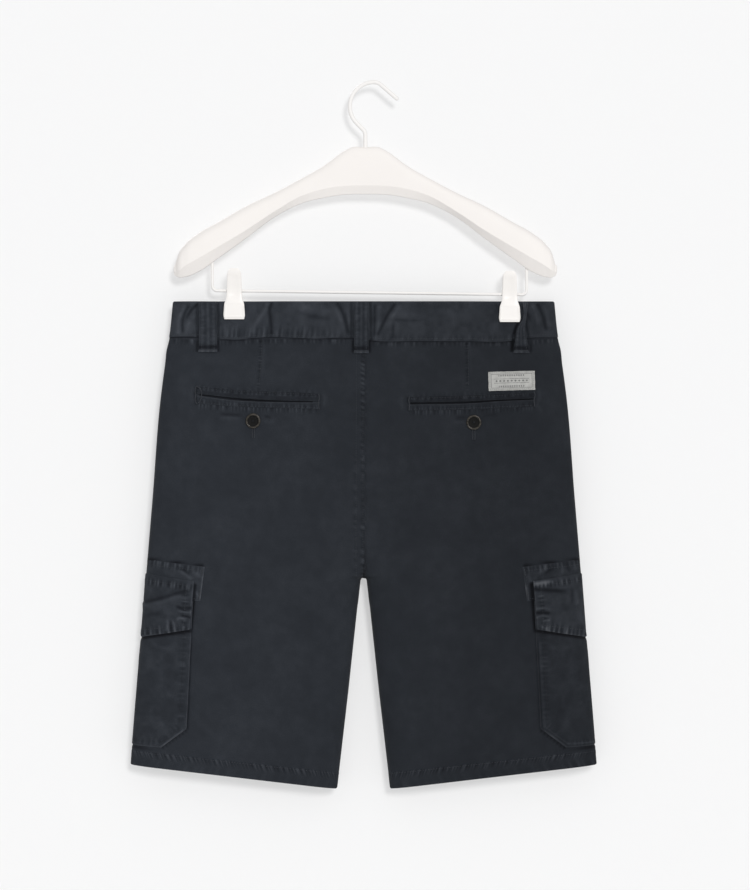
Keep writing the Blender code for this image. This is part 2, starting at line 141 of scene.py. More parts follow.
def add_backdrop(name, size, location, rotation, material):
    bpy.ops.mesh.primitive_plane_add(size=size, location=location, rotation=rotation)
    sheet = bpy.context.object
    sheet.name = name
    sheet.data.materials.append(material)


add_backdrop("wall", 8.0, (0, 0.0240, 0), (math.radians(90), 0, 0),
             stage_material("wall_paint", (0.46, 0.46, 0.46), True, 0.462))
add_backdrop("floor", 12.0, (0, 0, -1.25), (0, 0, 0),
             stage_material("floor_paint", (0.80, 0.80, 0.80), False))
bpy.ops.object.select_all(action="DESELECT")

# %% [markdown]
# ## The form of the shorts
# The shorts are two faces of cloth that meet at the sides and, below the crotch, at the inseams. Where
# they hang flat they are a few centimetres apart, and near a seam that gap closes on a round. One
# formula gives the gap at any place, so every panel, pocket and button can be laid on the same form.
# x is measured from the centre line and drop from the waistband's top edge.

# %% Form of the shorts
GARMENT = np.array([-0.0120, 0.0, -0.2520])  # centre of the waistband's top edge
BACK, FRONT = -1, 1
OUTLINE = (  # drop, half width, half depth
    (0.000, 0.2205, 0.0080),
    (0.043, 0.2250, 0.0088),
    (0.068, 0.2294, 0.0103),
    (0.105, 0.2345, 0.0125),
    (0.230, 0.2449, 0.0160),
    (0.369, 0.2565, 0.0160),
    (0.537, 0.2701, 0.0150),
    (0.580, 0.2730, 0.0148),
)
CROTCH_DROP, CROTCH_RISE = 0.3200, 0.0700
HEM_DROP_SIDE, HEM_DROP_INSEAM = 0.5370, 0.5650
INSEAM = (  # below the crotch, distance from the centre line
    (0.000, 0.0006), (0.001, 0.0026), (0.004, 0.0038), (0.026, 0.0062),
    (0.035, 0.0075), (0.132, 0.0179), (0.245, 0.0310),
)
SIDE_FOLD, INSEAM_FOLD = 0.0360, 0.0300
CLIPS = ((-0.1500, 0.0208), (0.1694, 0.0240))  # centre, reach below the waistband's top
PINCH_DEPTH, PINCH_FLAT, PINCH_FADE_ACROSS = 0.0026, 0.0160, 0.0450
PINCH_FADE_START, PINCH_FADE_DOWN = 0.0240, 0.0800


def ease(share):
    share = np.clip(share, 0, 1)
    return share * share * (3 - 2 * share)


def rounding(distance, width):
    """0 at an edge, 1 from width on, along a quarter circle."""
    return np.sqrt(np.maximum(1 - (1 - np.clip(distance / width, 0, 1)) ** 2, 0))


def smooth_line(table, column, at):
    """A table's column at places in its first column, on a curve with no corners."""
    rows = np.array(table, dtype=float)
    xs, ys = rows[:, 0], rows[:, column]
    slopes = np.gradient(ys, xs)
    at = np.clip(at, xs[0], xs[-1])
    k = np.clip(np.searchsorted(xs, at, side="right") - 1, 0, len(xs) - 2)
    run = xs[k + 1] - xs[k]
    t = (at - xs[k]) / run
    rise = ys[k + 1] - ys[k]
    left, right = slopes[k] * run - rise, rise - slopes[k + 1] * run
    return ys[k] + t * rise + t * (1 - t) * ((1 - t) * left + t * right)


def half_width(drop):
    bulge = 0.0011 * np.exp(-(((drop - 0.057) / 0.010) ** 2))
    return smooth_line(OUTLINE, 1, drop) + bulge


def inseam(drop):
    rows = np.array(INSEAM)
    return np.interp(drop - CROTCH_DROP, rows[:, 0], rows[:, 1])


def depth(x, drop):
    """Half the gap between the back and the front."""
    out = np.abs(x)
    full = smooth_line(OUTLINE, 2, drop)
    fade = 1 - ease((drop - PINCH_FADE_START) / PINCH_FADE_DOWN)
    near = np.zeros_like(out)
    for centre, _ in CLIPS:
        near = np.maximum(near, 1 - ease((np.abs(x - centre) - PINCH_FLAT) / PINCH_FADE_ACROSS))
    full = full - (full - PINCH_DEPTH) * fade * near
    joined = rounding(CROTCH_DROP - drop, CROTCH_RISE)
    inner = joined + (1 - joined) * rounding(out - inseam(drop), INSEAM_FOLD)
    return full * inner * rounding(half_width(drop) - out, SIDE_FOLD)


def skin(x, drop, face):
    """Points on the form's back or front."""
    x, drop = np.broadcast_arrays(np.asarray(x, float), np.asarray(drop, float))
    return GARMENT + np.stack([x, face * depth(x, drop), -drop], axis=-1)


print("gap at the hip, in mm:", round(float(2000 * depth(np.array(0.1), np.array(0.25))), 1))

# %% [markdown]
# ## Creases
# Cloth on a hanger is never flat: it has soft ridges where it was folded, troughs where a seam holds
# it, and rows of small gathers along every line of stitches. Each crease is a bent line with a width
# and a height. Its tone, like that of a row of gathers, makes a ridge lighter where it has worn in the
# wash, and a trough darker as painted shade. Simulated cloth would put creases where it likes, so they
# are placed one by one here.
# Lines are in millimetres, x from the centre line and drop from the waistband's top.

# %% Crease helpers


def rounded_route(route):
    """A bent line with its corners rounded."""
    route = np.array(route, dtype=float)
    if len(route) < 3:
        return route
    place = np.arange(len(route))
    at = np.linspace(0, len(route) - 1, 4 * (len(route) - 1) + 1)
    return np.stack([smooth_line(np.stack([place, route[:, k]], 1), 1, at) for k in (0, 1)], 1)


def along_route(x, drop, route):
    """How far along a route each point is, and how far from it, below zero on its left, all in mm."""
    best = np.full(x.shape, np.inf)
    along, side, run = np.zeros(x.shape), np.ones(x.shape), 0.0
    for (ax, ay), (bx, by) in zip(route[:-1], route[1:]):
        dx, dy = bx - ax, by - ay
        length = math.hypot(dx, dy)
        t = np.clip(((x - ax) * dx + (drop - ay) * dy) / length**2, 0, 1)
        away = (x - ax - t * dx) ** 2 + (drop - ay - t * dy) ** 2
        closer = away < best
        best = np.where(closer, away, best)
        along = np.where(closer, run + t * length, along)
        side = np.where(closer, np.sign(dx * (drop - ay) - dy * (x - ax)), side)
        run += length
    return along, np.sqrt(best) * side, run


def crease(x, drop, route, width, fade=(0.3, 0.3), lean=0.0):
    """The shape of one crease, 1 at its middle. fade is the share of its length over which each end
    dies away, and lean pushes its weight to one side."""
    shape = np.zeros(x.shape)
    route = rounded_route(route)
    reach = 3 * width
    low, high = route.min(axis=0) - reach, route.max(axis=0) + reach
    near = (x > low[0]) & (x < high[0]) & (drop > low[1]) & (drop < high[1])
    if not near.any():
        return shape
    along, away, length = along_route(x[near], drop[near], route)
    away = away / width
    made = np.exp(-(away**2)) * (1 + lean * away)
    if fade[0] > 0:
        made = made * ease(along / length / fade[0])
    if fade[1] > 0:
        made = made * ease((1 - along / length) / fade[1])
    shape[near] = made
    return shape


def gathers(x, drop, route, spacing, reach, seed, slant=0.0):
    """A row of uneven small gathers across a line of stitches, between -1 and 1. reach is how far they
    go on its left and right, and slant leans them."""
    shape = np.zeros(x.shape)
    route = rounded_route(route)
    wide = max(reach)
    low, high = route.min(axis=0) - wide, route.max(axis=0) + wide
    near = (x > low[0]) & (x < high[0]) & (drop > low[1]) & (drop < high[1])
    if not near.any():
        return shape
    along, away, length = along_route(x[near], drop[near], route)
    draw = np.random.default_rng(seed)
    places = np.arange(-1, length / spacing + 1) * spacing
    places = places + draw.uniform(-0.28, 0.28, len(places)) * spacing
    sizes = draw.uniform(0.35, 1.0, len(places))
    widths = draw.uniform(0.24, 0.36, len(places)) * spacing
    at = np.arange(-2 * wide, length + 2 * wide, 0.25)
    profile = (sizes * np.exp(-(((at[:, None] - places) / widths) ** 2))).sum(axis=1) * 1.7 - 0.7
    where = np.interp(along + slant * away, at, profile)
    span = np.where(away < 0, reach[0], reach[1])
    made = where * ease(1 - np.abs(away) / np.maximum(span, 1e-6))
    ends = ease(along / (0.5 * spacing) + 0.2) * ease((length - along) / (0.5 * spacing) + 0.2)
    shape[near] = made * ends
    return shape


def relief(x, drop, creases=(), rows=()):
    """Height in mm and tone of a piece with a table of creases (route, width, height, tone, fade, lean)
    and a table of gathers (route, spacing, reach, height, tone, seed, slant). x and drop are in mm."""
    height, tone = np.zeros(x.shape), np.zeros(x.shape)
    for route, width, rise, shade, *more in creases:
        made = crease(x, drop, route, width, *more)
        height += rise * made
        tone += shade * made
    for route, spacing, reach, rise, shade, seed, *more in rows:
        made = gathers(x, drop, route, spacing, reach, seed, *more)
        height += rise * made
        tone += shade * made
    return height, tone


def mottle(x, drop, size, seed):
    """Soft patches of a size in mm, between -1 and 1."""
    grid = np.random.default_rng(seed).uniform(-1, 1, (97, 97))
    u, v = x / size + 40.3, drop / size + 7.7
    i, j = np.floor(u).astype(int), np.floor(v).astype(int)
    fu, fv = ease(u - i), ease(v - j)
    i, j = i % 96, j % 96
    return ((grid[i, j] * (1 - fu) + grid[i + 1, j] * fu) * (1 - fv)
            + (grid[i, j + 1] * (1 - fu) + grid[i + 1, j + 1] * fu) * fv)


print("crease helpers ready")

# %% [markdown]
# ## Twill
# The cloth is dyed cotton twill that was washed after sewing. Close up it has fine slanting ribs with
# uneven yarns. From further off it has faint cloudy patches, high places have worn lighter, and low
# places are painted darker as shade. The ribs and yarns follow the cloth's own UV map, which is in
# metres of cloth, the clouds follow the object, and the wear and the painted shade come from the tone
# that each crease left on the mesh. A picture of cloth would give the same, but noise and wave
# textures need no file and have detail at every distance.

# %% Material helpers


class Finish:
    """A new material, with short ways to add its nodes. A value is a number, a colour or a socket."""

    def __init__(self, name):
        self.made = bpy.data.materials.new(name)
        self.made.use_nodes = True
        self.tree = self.made.node_tree
        self.place = self.node("TexCoord").outputs

    def put(self, socket, value):
        if isinstance(value, bpy.types.NodeSocket):
            self.tree.links.new(value, socket)
        else:
            socket.default_value = value

    def node(self, kind, values=None, **settings):
        made = self.tree.nodes.new("ShaderNode" + kind)
        for setting, value in settings.items():
            setattr(made, setting, value)
        for socket, value in (values or {}).items():
            self.put(made.inputs[socket], value)
        return made

    def surface(self, values):
        for socket, value in values.items():
            self.put(self.tree.nodes["Principled BSDF"].inputs[socket], value)

    def attribute(self, name):
        return self.node("Attribute", attribute_name=name).outputs["Fac"]

    def noise(self, where, scale, detail=2.0, rough=0.5):
        made = self.node("TexNoise", {"Vector": where, "Scale": scale, "Detail": detail, "Roughness": rough})
        return made.outputs["Fac"]

    def wave(self, where, scale, direction, distortion=0.0, detail=2.0):
        values = {"Vector": where, "Scale": scale, "Distortion": distortion, "Detail": detail}
        return self.node("TexWave", values, bands_direction=direction).outputs["Fac"]

    def math(self, kind, *values):
        return self.node("Math", dict(enumerate(values)), operation=kind).outputs[0]

    def spread(self, value, low, high, start=0.3, end=0.7):
        """Stretches a value to run from low to high. A noise stays near a half, so it is stretched more."""
        made = self.node("MapRange", {"Value": value, "From Min": start, "From Max": end,
                                      "To Min": low, "To Max": high})
        return made.outputs["Result"]

    def mix(self, factor, first, second):
        values = {"Factor": factor, "A": (*first, 1), "B": (*second, 1)}
        return self.node("Mix", values, data_type="RGBA").outputs["Result"]

    def scaled(self, colour, factor):
        return self.node("VectorMath", {0: colour, "Scale": factor}, operation="SCALE").outputs["Vector"]

    def bump(self, height, strength, distance):
        made = self.node("Bump", {"Strength": strength, "Distance": distance, "Height": height})
        self.surface({"Normal": made.outputs["Normal"]})


# %% Twill material
TWILL_COLOURS = (  # tone, colour
    (0.00, (0.0032, 0.0036, 0.0052)),
    (0.30, (0.0112, 0.0127, 0.0164)),
    (0.50, (0.0200, 0.0231, 0.0286)),
    (0.72, (0.0400, 0.0446, 0.0535)),
    (1.00, (0.1020, 0.1080, 0.1210)),
)
TWILL_RIB = 0.00016
# painted light and shade: the cloth's colour is scaled from lighter on the left to darker on the right
LEFT_PAINTED_LIGHT, RIGHT_PAINTED_SHADE = 1.10, 0.77  # the left half is lighter than the right


def make_twill():
    cloth = Finish("washed_twill")
    uv, solid = cloth.place["UV"], cloth.place["Object"]
    cloud = cloth.spread(cloth.noise(solid, 16, 3, 0.6), -0.030, 0.030)
    patch = cloth.spread(cloth.noise(solid, 75), -0.022, 0.022)
    yarn = cloth.spread(cloth.noise(uv, 900), -0.050, 0.050)
    tone = cloth.math("MULTIPLY_ADD", cloth.attribute("tone"), 0.5, 0.5)
    for extra in (cloud, patch, yarn):
        tone = cloth.math("ADD", tone, extra)
    ramp = cloth.node("ValToRGB", {"Fac": tone})
    elements = ramp.color_ramp.elements
    while len(elements) < len(TWILL_COLOURS):
        elements.new(0.5)
    for element, (at, colour) in zip(elements, TWILL_COLOURS):
        element.position = at
        element.color = (*colour, 1)
    # painted light and shade across the shorts, by place: lighter on the left, darker on the right
    across = cloth.node("SeparateXYZ", {"Vector": solid}).outputs["X"]
    shade = cloth.spread(across, LEFT_PAINTED_LIGHT, RIGHT_PAINTED_SHADE, -0.16, 0.14)
    ribs = cloth.wave(uv, 620, "DIAGONAL", 1.2, 1.0)
    cloth.bump(cloth.math("ADD", ribs, yarn), 0.35, TWILL_RIB)
    cloth.surface({"Base Color": cloth.scaled(ramp.outputs["Color"], shade), "Roughness": 0.92,
                   "Specular IOR Level": 0.12, "Sheen Weight": 0.06, "Sheen Roughness": 0.45})
    return cloth.made


twill = make_twill()
print("twill:", len(twill.node_tree.nodes), "nodes")

# %% [markdown]
# ## Thread, horn, woven label, plastic
# The thread is the cloth's colour, a little lighter and glossier. The buttons are dark horn with a
# polished rim that is streaked like horn and painted paler as a highlight. The label is pale grey, woven
# so finely that only a faint grid shows, with a plain geometric pattern. The hanger is satin white
# plastic with a barely uneven surface, and its hook and bar are steel wire in a white coat.

# %% Thread and horn


def make_thread(name, colour):
    yarn = Finish(name)
    strand = yarn.noise(yarn.place["Object"], 1500)
    yarn.bump(strand, 0.4, 0.00008)
    yarn.surface({"Base Color": yarn.mix(strand, [0.65 * c for c in colour], [1.3 * c for c in colour]),
                  "Roughness": 0.6, "Specular IOR Level": 0.2})
    return yarn.made


def make_horn():
    """Near black, with a polished rim where the mesh says so, streaked like horn and painted paler as a
    highlight.
    """
    made = Finish("dark_horn")
    stretched = made.node("Mapping", {"Vector": made.place["Object"], "Scale": (1, 1, 4),
                                      "Rotation": (0, 0.5, 0)}).outputs["Vector"]
    streak = made.noise(stretched, 170, 4, 0.6)
    rim = made.attribute("rim")
    # painted highlight: the rim is painted paler along the horn's streaks
    pale = made.math("MINIMUM", made.math("MULTIPLY", made.spread(streak, 0.15, 1.2), rim), 1.0)
    made.bump(streak, 0.12, 0.0001)
    made.surface({"Base Color": made.mix(pale, (0.0030, 0.0029, 0.0027), (0.060, 0.054, 0.045)),
                  "Roughness": made.math("MULTIPLY_ADD", rim, -0.50, 0.68), "Specular IOR Level": 0.16})
    return made.made


thread = make_thread("navy_thread", (0.040, 0.044, 0.052))
dark_thread = make_thread("dark_thread", (0.010, 0.011, 0.014))
horn = make_horn()

# %% Woven label
LABEL_SIZE = (0.0538, 0.0220)


def make_label():
    """Thin rules, small lozenges and dashes. UV runs in metres from the label's middle."""
    woven = Finish("woven_label_cloth")
    uv = woven.place["UV"]
    split = woven.node("SeparateXYZ", {"Vector": uv})
    u, v = split.outputs["X"], split.outputs["Y"]
    from_u, from_v = woven.math("ABSOLUTE", u), woven.math("ABSOLUTE", v)

    def box(half_u, half_v, middle=0.0):
        """1 inside a box this far each way from a place on the label's upright middle line."""
        height = woven.math("ABSOLUTE", woven.math("SUBTRACT", v, middle)) if middle else from_v
        return woven.math("MULTIPLY", woven.math("LESS_THAN", from_u, half_u),
                          woven.math("LESS_THAN", height, half_v))

    half_u, half_v = LABEL_SIZE[0] / 2, LABEL_SIZE[1] / 2
    dark = woven.math("SUBTRACT", box(half_u - 0.0030, half_v - 0.0028),
                      box(half_u - 0.0035, half_v - 0.0033))
    slope = woven.math("ADD", woven.math("MULTIPLY", woven.math("PINGPONG", from_u, 0.0022), 0.8), from_v)
    lozenges = woven.math("MULTIPLY", woven.math("LESS_THAN", slope, 0.00125), box(0.0185, 0.0020))
    beat = woven.math("PINGPONG", woven.math("ADD", u, 0.02), 0.0013)
    dash = woven.math("LESS_THAN", beat, 0.0007)
    marks = [box(0.0205, 0.00025, middle) for middle in (0.00235, -0.00235)] + [lozenges]
    marks += [woven.math("MULTIPLY", dash, box(0.0150, 0.0009, middle)) for middle in (0.0062, -0.0062)]
    for mark in marks:
        dark = woven.math("MAXIMUM", dark, mark)
    grain = woven.noise(uv, 2200, 1)
    fuzzy = woven.math("MULTIPLY", dark, woven.spread(grain, 0.35, 1.1))
    colour = woven.mix(woven.math("MINIMUM", fuzzy, 1.0), (0.430, 0.428, 0.410), (0.058, 0.062, 0.062))
    colour = woven.scaled(colour, woven.spread(woven.math("MULTIPLY_ADD", grain, 0.5, 0.25), 0.80, 1.14))
    colour = woven.scaled(colour, woven.spread(woven.noise(uv, 160, 3, 0.6), 0.86, 1.10))
    grid = woven.math("MULTIPLY", woven.wave(uv, 700, "X"), woven.wave(uv, 700, "Y"))
    woven.bump(woven.math("SUBTRACT", grid, dark), 0.4, 0.00012)
    woven.surface({"Base Color": colour, "Roughness": 0.7, "Specular IOR Level": 0.25})
    return woven.made


label_cloth = make_label()

# %% Plastic and coated wire


def make_plastic(name, colour, roughness, coat):
    made = Finish(name)
    broad, fine = (made.noise(made.place["Object"], scale) for scale in (22, 700))
    made.bump(fine, 0.05, 0.0001)
    made.surface({"Base Color": made.mix(made.spread(broad, 0.0, 1.0), [0.985 * c for c in colour], colour),
                  "Roughness": made.spread(fine, roughness - 0.04, roughness + 0.04),
                  "Specular IOR Level": 0.18, "Coat Weight": coat, "Coat Roughness": 0.2})
    return made.made


plastic = make_plastic("white_plastic", (0.905, 0.868, 0.835), 0.60, 0.0)
coated_wire = make_plastic("white_coated_wire", (0.915, 0.895, 0.872), 0.45, 0.0)
clip_plastic = make_plastic("white_clip_plastic", (0.910, 0.880, 0.848), 0.40, 0.10)
print("materials:", len(bpy.data.materials))

# %% [markdown]
# ## Cutting cloth
# A cut piece starts as a flat grid, like cloth on a table. Its rows are laid on the form, spaced evenly
# along the cloth's own length so that no square is stretched, then creases push it in or out along its
# face, and Solidify gives it a wall. The grid's UV map becomes metres of cloth. The tone of each crease
# is stored on the mesh for the material to read.

# %% Cloth helpers


def face_directions(points, inside_x):
    """Outward directions of a grid of points round a place inside the shorts."""
    made = np.cross(np.gradient(points, axis=1), np.gradient(points, axis=0))
    made /= np.maximum(np.linalg.norm(made, axis=2, keepdims=True), 1e-12)
    reach = points - np.array([GARMENT[0] + inside_x, 0, 0])
    reach[..., 2] = 0
    return made * np.sign((made * reach).sum())


def distances(line):
    """How far along a line each of its points is."""
    return np.concatenate([[0], np.cumsum(np.linalg.norm(np.diff(line, axis=0), axis=1))])


def walk(line, run, at):
    """Places on a line at distances along it."""
    return np.stack([np.interp(at, run, column) for column in line.T], axis=-1)


def evenly(line, shares):
    """Points at given shares of a line's length."""
    run = distances(line)
    return walk(line, run, shares * run[-1])


def to_mm(points):
    """x from the centre line and drop, in mm, of points on the shorts."""
    return 1000 * (points[..., 0] - GARMENT[0]), 1000 * (GARMENT[2] - points[..., 2])


def share_of(shape, axis, low=0.0, high=1.0):
    """A grid of numbers that run evenly from low to high down its rows (axis 0) or across (axis 1)."""
    run = np.linspace(low, high, shape[axis])
    return np.broadcast_to(run[:, None] if axis == 0 else run, shape[:2])


def dress(piece, material, slot, *nodes):
    """Gives a piece its material, and its place in the model."""
    piece.data.materials.clear()
    piece.data.materials.append(material)
    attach(piece, "root")
    if nodes:
        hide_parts(*nodes)


def settle(piece, angle=50):
    """Smooth shading with sharp edges kept, and nothing left selected."""
    bpy.ops.object.select_all(action="DESELECT")
    piece.select_set(True)
    bpy.context.view_layer.objects.active = piece
    bpy.ops.object.shade_smooth_by_angle(angle=math.radians(angle))
    bpy.ops.object.select_all(action="DESELECT")


def in_edit_mode(*steps):
    """Runs mesh operators on the whole of the active piece."""
    bpy.ops.object.mode_set(mode="EDIT")
    for step in steps:
        bpy.ops.mesh.select_all(action="SELECT")
        step()
    bpy.ops.object.mode_set(mode="OBJECT")


def grid_piece(name, places):
    """A flat grid, moved to a grid of places. Also gives the row and column of each of its points."""
    rows, columns = places.shape[:2]
    bpy.ops.object.select_all(action="DESELECT")
    bpy.ops.mesh.primitive_grid_add(x_subdivisions=columns - 1, y_subdivisions=rows - 1, size=1)
    piece = bpy.context.object
    piece.name = piece.data.name = name
    flat = np.empty(3 * len(piece.data.vertices))
    piece.data.vertices.foreach_get("co", flat)
    flat = flat.reshape(-1, 3)
    column = np.rint((flat[:, 0] + 0.5) * (columns - 1)).astype(int)
    row = np.rint((0.5 - flat[:, 1]) * (rows - 1)).astype(int)
    piece.data.vertices.foreach_set("co", places[row, column].ravel())
    return piece, row, column


def lay_cloth(name, points, outwards, height, tone, wall, uv=None):
    """A cut piece. points is a grid of places, height in mm is added along outwards."""
    rows, columns = points.shape[:2]
    final = points + outwards * (height[..., None] / 1000)
    if uv is None:
        across = np.linalg.norm(np.diff(points, axis=1), axis=2)
        down = np.linalg.norm(np.diff(points, axis=0), axis=2)
        u = np.concatenate([np.zeros((rows, 1)), np.cumsum(across, axis=1)], axis=1)
        v = np.concatenate([np.zeros((1, columns)), np.cumsum(down, axis=0)], axis=0)
        uv = np.stack([u, -v], axis=-1)
    piece, row, column = grid_piece(name, final)
    mesh = piece.data
    corner = np.empty(len(mesh.loops), dtype=int)
    mesh.loops.foreach_get("vertex_index", corner)
    mesh.uv_layers[0].data.foreach_set("uv", uv[row, column][corner].ravel())
    stored = mesh.attributes.new("tone", "FLOAT", "POINT")
    stored.data.foreach_set("value", np.clip(tone, -1, 1)[row, column].astype(np.float32))
    mesh.update()
    middle = mesh.polygons[len(mesh.polygons) // 2]
    corner = middle.vertices[0]
    if Vector(outwards[row[corner], column[corner]]).dot(middle.normal) < 0:
        in_edit_mode(bpy.ops.mesh.flip_normals)
    thicken = piece.modifiers.new("cloth wall", "SOLIDIFY")
    thicken.thickness = wall
    thicken.offset = -1
    bpy.ops.object.modifier_apply(modifier=thicken.name)
    settle(piece)
    print(f"{name}: {rows} x {columns}, {len(mesh.polygons) * 2} triangles")
    return piece, final


# %% [markdown]
# ## Stitches
# One stitch is a stretched ball, a few dozen faces at most. A run of stitches copies it along a line
# that lies on the cloth, each copy turned to the line, and all copies of a piece become one mesh.

# %% Stitch helpers
bpy.ops.mesh.primitive_uv_sphere_add(segments=6, ring_count=3, radius=1)
pattern = bpy.context.object
STITCH_POINTS = np.array([v.co[:] for v in pattern.data.vertices])[:, [2, 0, 1]]
STITCH_FACES = [tuple(p.vertices) for p in pattern.data.polygons]
bpy.data.objects.remove(pattern, do_unlink=True)


def sew(name, runs, material, pitch=0.0030, length=0.0021, thread_size=0.00050, sink=0.2):
    """Stitches along runs of (points, outward directions)."""
    points, faces = [], []
    for line, outwards in runs:
        run = distances(line)
        at = np.arange(pitch / 2, run[-1], pitch)
        place, out = walk(line, run, at), walk(outwards, run, at)
        ahead, behind = walk(line, run, at + 0.0003), walk(line, run, at - 0.0003)
        for p, a, b, n in zip(place, ahead, behind, out):
            t = (a - b) / max(np.linalg.norm(a - b), 1e-12)
            n = n / max(np.linalg.norm(n), 1e-12)
            w = np.cross(n, t)
            start = len(points) * len(STITCH_POINTS)
            made = (p + n * thread_size * (0.5 - sink)
                    + STITCH_POINTS[:, :1] * t * length / 2
                    + STITCH_POINTS[:, 1:2] * w * thread_size / 2
                    + STITCH_POINTS[:, 2:3] * n * thread_size / 2)
            points.append(made)
            faces += [tuple(start + k for k in face) for face in STITCH_FACES]
    mesh = bpy.data.meshes.new(name)
    mesh.from_pydata(np.concatenate(points).tolist(), [], faces)
    mesh.shade_smooth()
    mesh.validate()
    piece = bpy.data.objects.new(name, mesh)
    bpy.context.scene.collection.objects.link(piece)
    dress(piece, material, "twill")
    print(f"{name}: {len(points)} stitches")


def line_on(grid, outwards, rows, columns):
    """A run across a grid of points, at fractional rows and columns."""
    rows, columns = np.broadcast_arrays(rows, columns)

    def sample(values):
        r = np.clip(rows, 0, values.shape[0] - 1.001)
        c = np.clip(columns, 0, values.shape[1] - 1.001)
        i, j = r.astype(int), c.astype(int)
        fr, fc = (r - i)[:, None], (c - j)[:, None]
        return ((values[i, j] * (1 - fc) + values[i, j + 1] * fc) * (1 - fr)
                + (values[i + 1, j] * (1 - fc) + values[i + 1, j + 1] * fc) * fr)
    return sample(grid), sample(outwards)


print("stitch:", len(STITCH_FACES), "faces")

# %% [markdown]
# ## Panels
# Four panels make the shorts: half of the back and half of the front for each leg. Rows run from under
# the waistband to the hem, close together where the pockets are, and tilt towards the hem's slant below
# the crotch. The back panels turn a millimetre or so round the side seams and inseams onto the front,
# as a lapped seam does, and the left one laps the right down the centre of the back.

# %% Creases on the back
BACK_LEFT_CREASES = (
    (((-119, 44), (-120.5, 75), (-122.6, 105)), 1.5, -0.35, -0.12, (0, 0.3)),
    (((-115.5, 45), (-117, 75), (-119.5, 101)), 2.4, 0.28, 0.07, (0, 0.4)),
    # painted shade in the pocket's slit, under the upper welt
    (((-191, 107.3), (-150, 112.4), (-120, 114.7), (-58, 116.2)), 1.7, -1.3, -1.0, (0.02, 0.02)),
    (((-169, 131), (-153, 131.4), (-138, 132.4)), 1.8, -0.6, -0.34),
    (((-171, 134.8), (-154, 135.4), (-140, 136.6)), 2.4, 0.45, 0.16),
    (((-116.4, 133.6), (-111, 134), (-106, 134.9)), 1.6, -0.5, -0.34),
    (((-118, 138), (-110, 139), (-100, 139)), 2.2, 0.35, 0.12),
    (((-196, 96), (-200, 108), (-197, 121)), 2.4, 0.50, 0.14),
    (((-48, 104), (-45, 114), (-47, 126)), 2.4, 0.45, 0.12),
    (((-213, 60), (-216, 120), (-222, 190)), 12, 0.9, 0.03),
    (((-80, 150), (-92, 220), (-86, 290)), 22, 0.9, 0.02),
    (((-28, 60), (-36, 130), (-30, 210)), 13, -0.7, -0.03),
    (((-8, 300), (-40, 330), (-75, 345)), 12, 0.8, 0.03, (0.1, 0.5)),
    (((-10, 318), (-50, 352), (-90, 372)), 9, -0.6, -0.03, (0.1, 0.5)),
    # painted shadows beside the cargo flap's and bag's edges: this line and the next three
    (((-194.6, 326), (-199.4, 380)), 1.5, -0.2, -1.1, (0.1, 0)),
    (((-198.9, 380), (-203.6, 495)), 1.0, -0.2, -0.60, (0, 0)),
    (((-203.8, 496), (-233.6, 518.0)), 1.0, -0.2, -0.45, (0, 0)),
    (((-233.6, 518.0), (-272, 515.8)), 1.0, -0.2, -0.60, (0, 0)),
    (((-183, 306.4), (-220, 302.2), (-262, 297.6)), 1.1, -0.2, -0.75, (0.05, 0)),
    # painted shadows beside the belt loops, below the band: this line and the next two
    (((-193.0, 46), (-193.0, 59)), 1.2, -0.2, -0.6, (0, 0.1)),
    (((-168.4, 46), (-168.2, 59)), 1.2, -0.2, -0.6, (0, 0.1)),
    (((-12.6, 46), (-12.8, 60)), 1.2, -0.2, -0.7, (0, 0.1)),
    (((-150, 390), (-140, 450), (-146, 520)), 20, 0.8, 0.02),
    (((-60, 400), (-66, 460), (-58, 530)), 16, -0.6, -0.02),
)
BACK_LEFT_GATHERS = (
    (((-222, 44), (-165, 46.5), (-106, 44.5), (-20, 45)), 5.0, (1.5, 7), 0.40, 0.46, 11),
    (((-119, 46), (-120.5, 75), (-122.2, 104)), 3.0, (3.0, 3.0), 0.18, 0.42, 17),
    (((-119, 45), (-119.6, 57)), 2.8, (2.4, 2.4), 0.2, 0.30, 18),
    (((-193, 118.5), (-138, 122.5), (-51, 123.5)), 3.7, (1.5, 8.5), 0.42, 0.52, 12),
    (((-192, 100.8), (-152, 104), (-53, 107.6)), 5.6, (7, 1.5), 0.30, 0.20, 13),
    (((-0.9, 61), (-0.9, 200)), 5.6, (3.9, 4.2), 0.60, 0.54, 14, 0.35),
    (((-0.9, 200), (-0.9, 323)), 4.9, (3.9, 4.2), 0.60, 0.46, 15, 0.30),
    (((-9.6, 170), (-9.6, 322)), 7.0, (3.6, 4.0), 0.34, 0.20, 16, 0.2),
)
